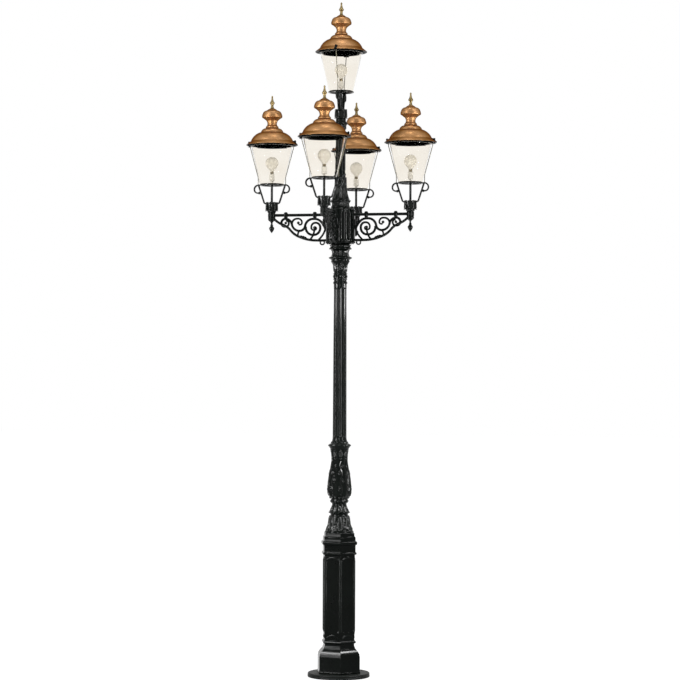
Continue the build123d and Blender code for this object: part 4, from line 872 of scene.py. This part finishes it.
def fit_arms():
    master = bracket()
    for side, angle in ARMS.items():
        turned = moved(master.copy(), spin(radians(angle)))
        finished(turned, f"bracket_{side}", "post", "iron", stands_for=(f"arm_{side}",))
    master.free()
    drop = moved(pendant(), shift(ARM_REACH, 0, 0))
    finished(around(drop, 4), "pendant_drops", "post", "iron", stands_for=("pendant_finials",))


# Lanterns, drawn about the cradle ring's centre with the hinge towards +X and the thumb screw towards -X

AT_HINGE = shift(173, 0, 281) @ spin(-pi / 2, "X")
SCREW_REACH = 172


def ribbed_crown():
    core = bored([
        (48.5, -RING_RISE), (48.5, -187), (47, -185, 0.4), (42, -179, -1), (39, -174, -0.6), (37.5, -168),
        (37.5, -142), (39.5, -138), (43, -134.5, 0.5), (43, -129.5), (41, -128), (16, -127),
    ], 48, 12.5)
    rib = eased(slab((30, -6.2, -180), (44.5, 6.2, -124)), 1.8)
    flare_top, flare = -170, 0.3
    for v in rib.verts:
        if v.co.z < flare_top:
            v.co.x += (flare_top - v.co.z) * flare
    return joined(core, around(rib, 8))


def cradle():
    whole = lathe([
        (80, -4.5), (90, -4.5), (92, -3, 0.4), (92.5, 0), (92, 3, 0.3), (90, 4.5, 0.4), (83.5, 4.5),
        (83, 8.5), (80.5, 8.5),
    ], steps=72, closed=True)
    joined(whole, lathe([(0, -5), (21, -5), (22, -3), (22, 4), (20, 4.5), (0, 4.5)], steps=32))
    for k in range(4):
        spoke = eased(slab((12, -5.5, -4), (83, 5.5, 3)), 1.2)
        joined(whole, moved(spoke, spin(k * pi / 2)))
    joined(whole, lathe([(0, -132), (11, -132), (11, -128), (8.8, -124), (8.5, -118), (8.5, -16), (10, -10),
                         (13, -6), (0, -5)], steps=24))
    leg = [Vector(p) for p in ((99, -2), (60.5, -118), (59, -123), (56.5, -127.5), (53, -131), (48.5, -133.5),
                               (44, -134.5), (34, -134.5))]
    curl = arc_path([(97, 0), (122, -8), (131, -33), (120, -52), (100, -56)])
    for side in (0, pi):
        half = swept(leg, 5.8, 11.5, sides=12, square=0.6)
        joined(half, swept(curl, lambda t: 5.8 - 0.6 * t, lambda t: 11.5 - 2 * t, sides=12, square=0.6))
        joined(half, eased(slab((84, -11.5, -4.4), (106, 11.5, 4.4)), 1.4))
        joined(half, ball(9.8, (94, 0, -56.5), (1, 1.1, 1), 3), ball(6.2, (99, 0, -1), (1.1, 1.5, 0.9), 2))
        joined(half, moved(tube(3.2, 7, -4.8, 4.8), shift(103, 0, 0)))
        joined(whole, moved(half, spin(side)))
    return whole


def shade():
    """Glass cone with a turned-in foot and a rounded upright lip."""
    return lathe([
        (84, 4.6), (87.5, 4.6), (88.5, 7, 0.5), (143.6, 256), (145, 262, 0.4), (145, 282.4), (144.4, 283),
        (142, 283), (141.4, 282.4), (141.2, 262), (139.7, 256), (84.4, 7),
    ], steps=96, closed=True)


def gallery():
    body = lathe([
        (139, 284.2), (149, 284.2), (150.5, 280.8), (157.2, 280.8), (158, 281.8, 0.3), (158, 309),
        (157, 310.2, 0.3), (148, 310.2), (146.5, 309), (146.5, 288), (145, 286.4), (139.5, 286),
    ], steps=96, closed=True)
    for turn, reach in ((0, 166), (pi, 180)):
        joined(body, moved(eased(slab((154, -11, 284), (reach, 11, 290)), 1.5), spin(turn)))
    for y0, y1 in ((6.5, 18.5), (-18.5, -6.5)):
        joined(body, moved(tube(2.2, 4.2, y0, y1), AT_HINGE), slab((155, y0, 281.4), (170, y1, 285)))
    return body


def stays():
    path = [Vector(p) for p in ((103, -2.4), (103, 52), (103.6, 58), (105.4, 64), (159.6, 262), (161.4, 268),
                                (162, 274), (162, 291))]
    one = swept(path, 2.75, 2.75, sides=12, square=1)
    return around(joined(one, moved(tube(2, 4.2, 278, 284, 6), shift(162, 0, 0))), 2)


HOOD_OUTSIDE = [
    (187, 290), (186.6, 291.8, 0.3), (157, 315.2), (153.6, 319, -0.5), (94, 379, 9), (90.5, 380.2),
    (83.6, 381.6, -0.5), (81, 386.5, -0.7), (50, 412, 5.4), (46.6, 413.6), (45, 416.4), (46, 421.5, 0.8),
    (44.4, 424.8, 0.7), (40.5, 428.5), (34.2, 443.5, -1.6), (37.2, 459, -0.9), (50.6, 475, -2.2),
    (68, 487.5, -0.8), (72.6, 491.8, 0.5), (73.3, 498.5, 0.9), (69.4, 515, 1.5), (52, 538, 3.4),
    (31, 548, -1.6), (24, 553, -0.4), (0, 553),
]
HOOD_INSIDE = [
    (184.3, 289.4), (153, 314.6), (150.4, 318.4, -0.5), (92, 375.6, 8.6), (80, 378.6), (77, 384.6, -0.5),
    (46, 408, 5), (40, 410), (0, 411),
]


def hood_outer():
    return lathe(HOOD_OUTSIDE, steps=96)


def hood_inner():
    """The black inside of the roof, with its rolled rim; the inside's black is its paint and also painted
    shade under the roof.
    """
    body = lathe([(187, 290), (186.6, 288.8), (185.4, 288.6)] + HOOD_INSIDE, steps=96)
    outline = [(154, 316.5), (188.4, 288.4), (190.5, 290.4), (189, 295.5), (161, 319.2), (156, 321)]
    for side in (0, pi):
        joined(body, moved(eased(prism(outline, 9), 1.6), spin(side)))
    nut = lathe([(0, 296), (8, 296), (8, 316.5), (6.6, 318.6, 0.4), (0, 319.3, 0.4)], steps=24)
    joined(body, moved(nut, shift(SCREW_REACH, 0, 0)))
    boss = bored([(7.6, 296), (8, 297), (8, 308.8), (7.2, 309.4)], 20, 3.3)
    joined(body, moved(boss, shift(-SCREW_REACH, 0, 0)))
    return joined(body, moved(tube(2.2, 4.2, -6, 6), AT_HINGE), slab((171.6, -6, 283), (177.2, 6, 298)))


def spike():
    return lathe([
        (0, 553), (21, 553), (20.6, 554.6, 0.3), (15.6, 557.4, -0.4), (11.4, 563, -0.8), (9.5, 573, -0.7),
        (10.6, 583, -0.7), (15.4, 590.6, -0.4), (17.4, 595, 0.5), (16.4, 600, 0.7), (12, 607, -0.3),
        (9, 615, -0.4), (5.6, 633, -0.5), (5.2, 635.4), (6.5, 638, 0.4), (6.5, 641.5, 0.4),
        (4.4, 645.6, 0.3), (0, 649, 0.8),
    ], steps=40)


def thumb_screw():
    body = lathe([(0, 309.8), (6.6, 309.8), (8, 311.2, 0.4), (8, 318.5), (6.8, 319.8, 0.4), (4.6, 320.2),
                  (4.4, 322.2), (3.4, 323), (0, 323)], steps=48)
    knurls, depth = 16, 0.07
    for v in body.verts:
        radius = sqrt(v.co.x ** 2 + v.co.y ** 2)
        if radius > 7.5:
            shrink = 1 - depth * (1 + cos(knurls * atan2(v.co.y, v.co.x))) / 2
            v.co.x *= shrink
            v.co.y *= shrink
    shank = lathe([(0, 282.2), (2.4, 282.2), (3, 283), (3, 309.9), (0, 309.9)], steps=16)
    return moved(joined(body, shank), shift(-SCREW_REACH, 0, 0))


def globe():
    """Satin globe and its neck; the screw cap is drawn apart."""
    radius, centre = 46, 158
    points = [(13, 96), (15, 99), (19, 106, -1), (27, 118.5, -1)]
    points += [(radius * sin(radians(a)), centre - radius * cos(radians(a))) for a in range(44, 180, 8)]
    return lathe(points + [(0, centre + radius)], steps=48)


def screw_cap():
    points = [(0, 59), (6, 59), (9, 61), (12.4, 64)]
    pitch = 4.6
    for k in range(6):
        points += [(13, 66 + pitch * k), (12.2, 68.3 + pitch * k)]
    points += [(13.2, 95), (13.4, 98), (0, 98)]
    return lathe(points, steps=32)


def holder():
    return lathe([
        (0, 4.6), (15.5, 4.6), (16, 6), (15, 9.5), (10, 11), (9, 13), (9, 23), (12, 26, -0.6), (18, 29),
        (19, 32, 0.5), (19, 52), (18.2, 53), (18.2, 55), (19, 56), (19, 76), (18, 78, 0.5), (14.2, 78),
        (13.6, 76), (13.6, 58.5), (0, 58.5),
    ], steps=40)


def fit_lanterns():
    """Each piece on all five lanterns; {} in a name takes the lantern's name."""
    for build, name, body, slot, node, *materials in (
            (cradle, "cradle_{}_cast", "post", "lantern_paint", "cradle_{}"),
            (ribbed_crown, "crown_{}", "post", "lantern_paint", "cradle_{}", RELIEF),
            (shade, "shade_{}", "post", "shade_glass", "glass_{}"),
            (gallery, "gallery_{}", "post", "lantern_paint", "gallery_ring_{}"),
            (hood_outer, "roof_{}", "{}_hood", "copper", "hood_{}"),
            (hood_inner, "roof_inside_{}", "{}_hood", "copper", "hood_{}", BLACK_PAINT_AND_SHADE),
            (spike, "spike_{}", "{}_hood", "brass", "finial_{}"),
            (thumb_screw, "knob_{}", "{}_screw", "brass", "thumb_screw_{}", PAINT),
            (globe, "globe_{}", "post", "lamp_glass", "bulb_{}"),
            (screw_cap, "screw_cap_{}", "post", "lamp_glass", "bulb_{}", CAP_METAL),
            (stays, "stays_{}", "post", "stay_steel", "stay_rods"),
            (holder, "holder_{}", "post", "porcelain", "lamp_holders")):
        master = build()
        for side in SIDES:
            finished(master.copy(), name.format(side), body.format(side), slot, *materials,
                     stands_for=(node.format(side),), place=lantern_matrix(side))
        master.free()


def dress_frame():
    """Materials for the frame's own nodes that stay as they are."""
    slots = {row["node"]: row["material_slot"] for row in frame["record"]["subparts"]}
    for node, piece in frame["nodes"].items():
        piece.data.materials.clear()
        piece.data.materials.append(FINISHES[slots[node]])


# Surroundings, in metres


def seen_directly(tree):
    """1 for rays that look at the surroundings straight, through glass or in a reflection."""
    rays = tree.nodes.new("ShaderNodeLightPath").outputs
    direct = arithmetic(tree, "MAXIMUM", rays["Is Camera Ray"], rays["Is Transmission Ray"])
    return arithmetic(tree, "MAXIMUM", direct, rays["Is Glossy Ray"])


def build_floor():
    """A pale floor that looks white and still takes the post's shadow."""
    bm = bmesh.new()
    bmesh.ops.create_grid(bm, x_segments=1, y_segments=1, size=60)
    mesh = bpy.data.meshes.new("floor")
    bm.to_mesh(mesh)
    bm.free()
    floor = bpy.data.objects.new("floor", mesh)
    scene.collection.objects.link(floor)
    made, tree, shader = started("pale_floor", Base_Color=(0.86, 0.86, 0.86, 1), Roughness=0.9,
                                 Specular_IOR_Level=0.1)
    glow_share = 0.82
    glow = valued(tree.nodes.new("ShaderNodeEmission"), Strength=1.15)
    mix = tree.nodes.new("ShaderNodeMixShader")
    tree.links.new(arithmetic(tree, "MULTIPLY", seen_directly(tree), glow_share), mix.inputs["Fac"])
    tree.links.new(shader.outputs["BSDF"], mix.inputs[1])
    tree.links.new(glow.outputs["Emission"], mix.inputs[2])
    tree.links.new(mix.outputs["Shader"], tree.nodes["Material Output"].inputs["Surface"])
    mesh.materials.append(made)


def build_world():
    """Soft light all round, and plain white where it is seen."""
    world = bpy.data.worlds.new("studio")
    scene.world = world
    world.use_nodes = True
    tree = world.node_tree
    back = valued(tree.nodes["Background"], Color=(1, 1, 1, 1), Strength=0.5)
    plain = valued(tree.nodes.new("ShaderNodeBackground"), Color=(1, 1, 1, 1), Strength=1.0)
    mix = tree.nodes.new("ShaderNodeMixShader")
    tree.links.new(seen_directly(tree), mix.inputs["Fac"])
    tree.links.new(back.outputs["Background"], mix.inputs[1])
    tree.links.new(plain.outputs["Background"], mix.inputs[2])
    tree.links.new(mix.outputs["Shader"], tree.nodes["World Output"].inputs["Surface"])


def softbox(name, at, aim, width, height, power, glint=False):
    """An area light; a glint light shows in glossy surfaces only."""
    light = bpy.data.lights.new(name, "AREA")
    light.shape = "RECTANGLE"
    light.size, light.size_y, light.energy = width, height, power
    lamp = bpy.data.objects.new(name, light)
    lamp.visible_camera = lamp.visible_transmission = False
    lamp.visible_diffuse = not glint
    lamp.location = at
    lamp.rotation_euler = (Vector(aim) - Vector(at)).to_track_quat("-Z", "Y").to_euler()
    scene.collection.objects.link(lamp)


def around_post(azimuth, reach, height):
    """A place at a distance from the post's axis; azimuth 0 is the front, and it grows to the right."""
    return reach * sin(radians(azimuth)), -reach * cos(radians(azimuth)), height


def build_lights():
    """Bands of soft light that bend over the post, one above, and strips that show in the gloss paint."""
    band_reach, centre = 7.6, 2.8
    for side, azimuth, powers in (("left", -37, (120, 130, 105)), ("right", 62, (90, 100, 80))):
        for k, power in enumerate(powers):
            rise = radians(3 + 19 * k)
            place = around_post(azimuth, band_reach * cos(rise), centre + band_reach * sin(rise))
            softbox(f"{side}_band_{k}", place, (0, 0, centre), 0.65, 2.7, power)
    for side, azimuth, reach, low, high, width, power in (
            ("left", -46, 3.2, 0.1, 3.6, 0.2, 150), ("right", 66, 3.2, 0.1, 3.6, 0.2, 125),
            ("front", 5, 4.5, 0.35, 3.6, 0.12, 75)):
        middle = (low + high) / 2
        place = around_post(azimuth, reach, middle)
        softbox(f"{side}_strip", place, (0, 0, middle), width, high - low, power, glint=True)
    for side, azimuth, power in (("left", -54, 62), ("right", 100, 80)):
        place = around_post(azimuth, 2.3, centre)
        softbox(f"{side}_ledge_light", place, (0, 0, 0.5), 0.6, 0.4, power, glint=True)
    softbox("top_light", (0.6, -1.2, 11.5), (0, 0, 1.6), 1.6, 1.6, 120)


def build_camera():
    data = bpy.data.cameras.new("camera")
    data.sensor_width = 36.0
    data.lens = 118.16
    data.clip_end = 200.0
    camera = bpy.data.objects.new("camera", data)
    azimuth, distance, height, aim_height, roll = 13.0, 16.06, 2.185, 2.415, 0.245
    camera.location = around_post(azimuth, distance, height)
    aim = Vector((0, 0, aim_height)) - camera.location
    camera.matrix_world = (Matrix.Translation(camera.location)
                           @ aim.to_track_quat("-Z", "Y").to_matrix().to_4x4() @ spin(radians(roll)))
    scene.collection.objects.link(camera)
    scene.camera = camera


dress_frame()
fit_column()
fit_arms()
fit_lanterns()
build_floor()
build_world()
build_lights()
build_camera()
scene.view_settings.view_transform = "Standard"
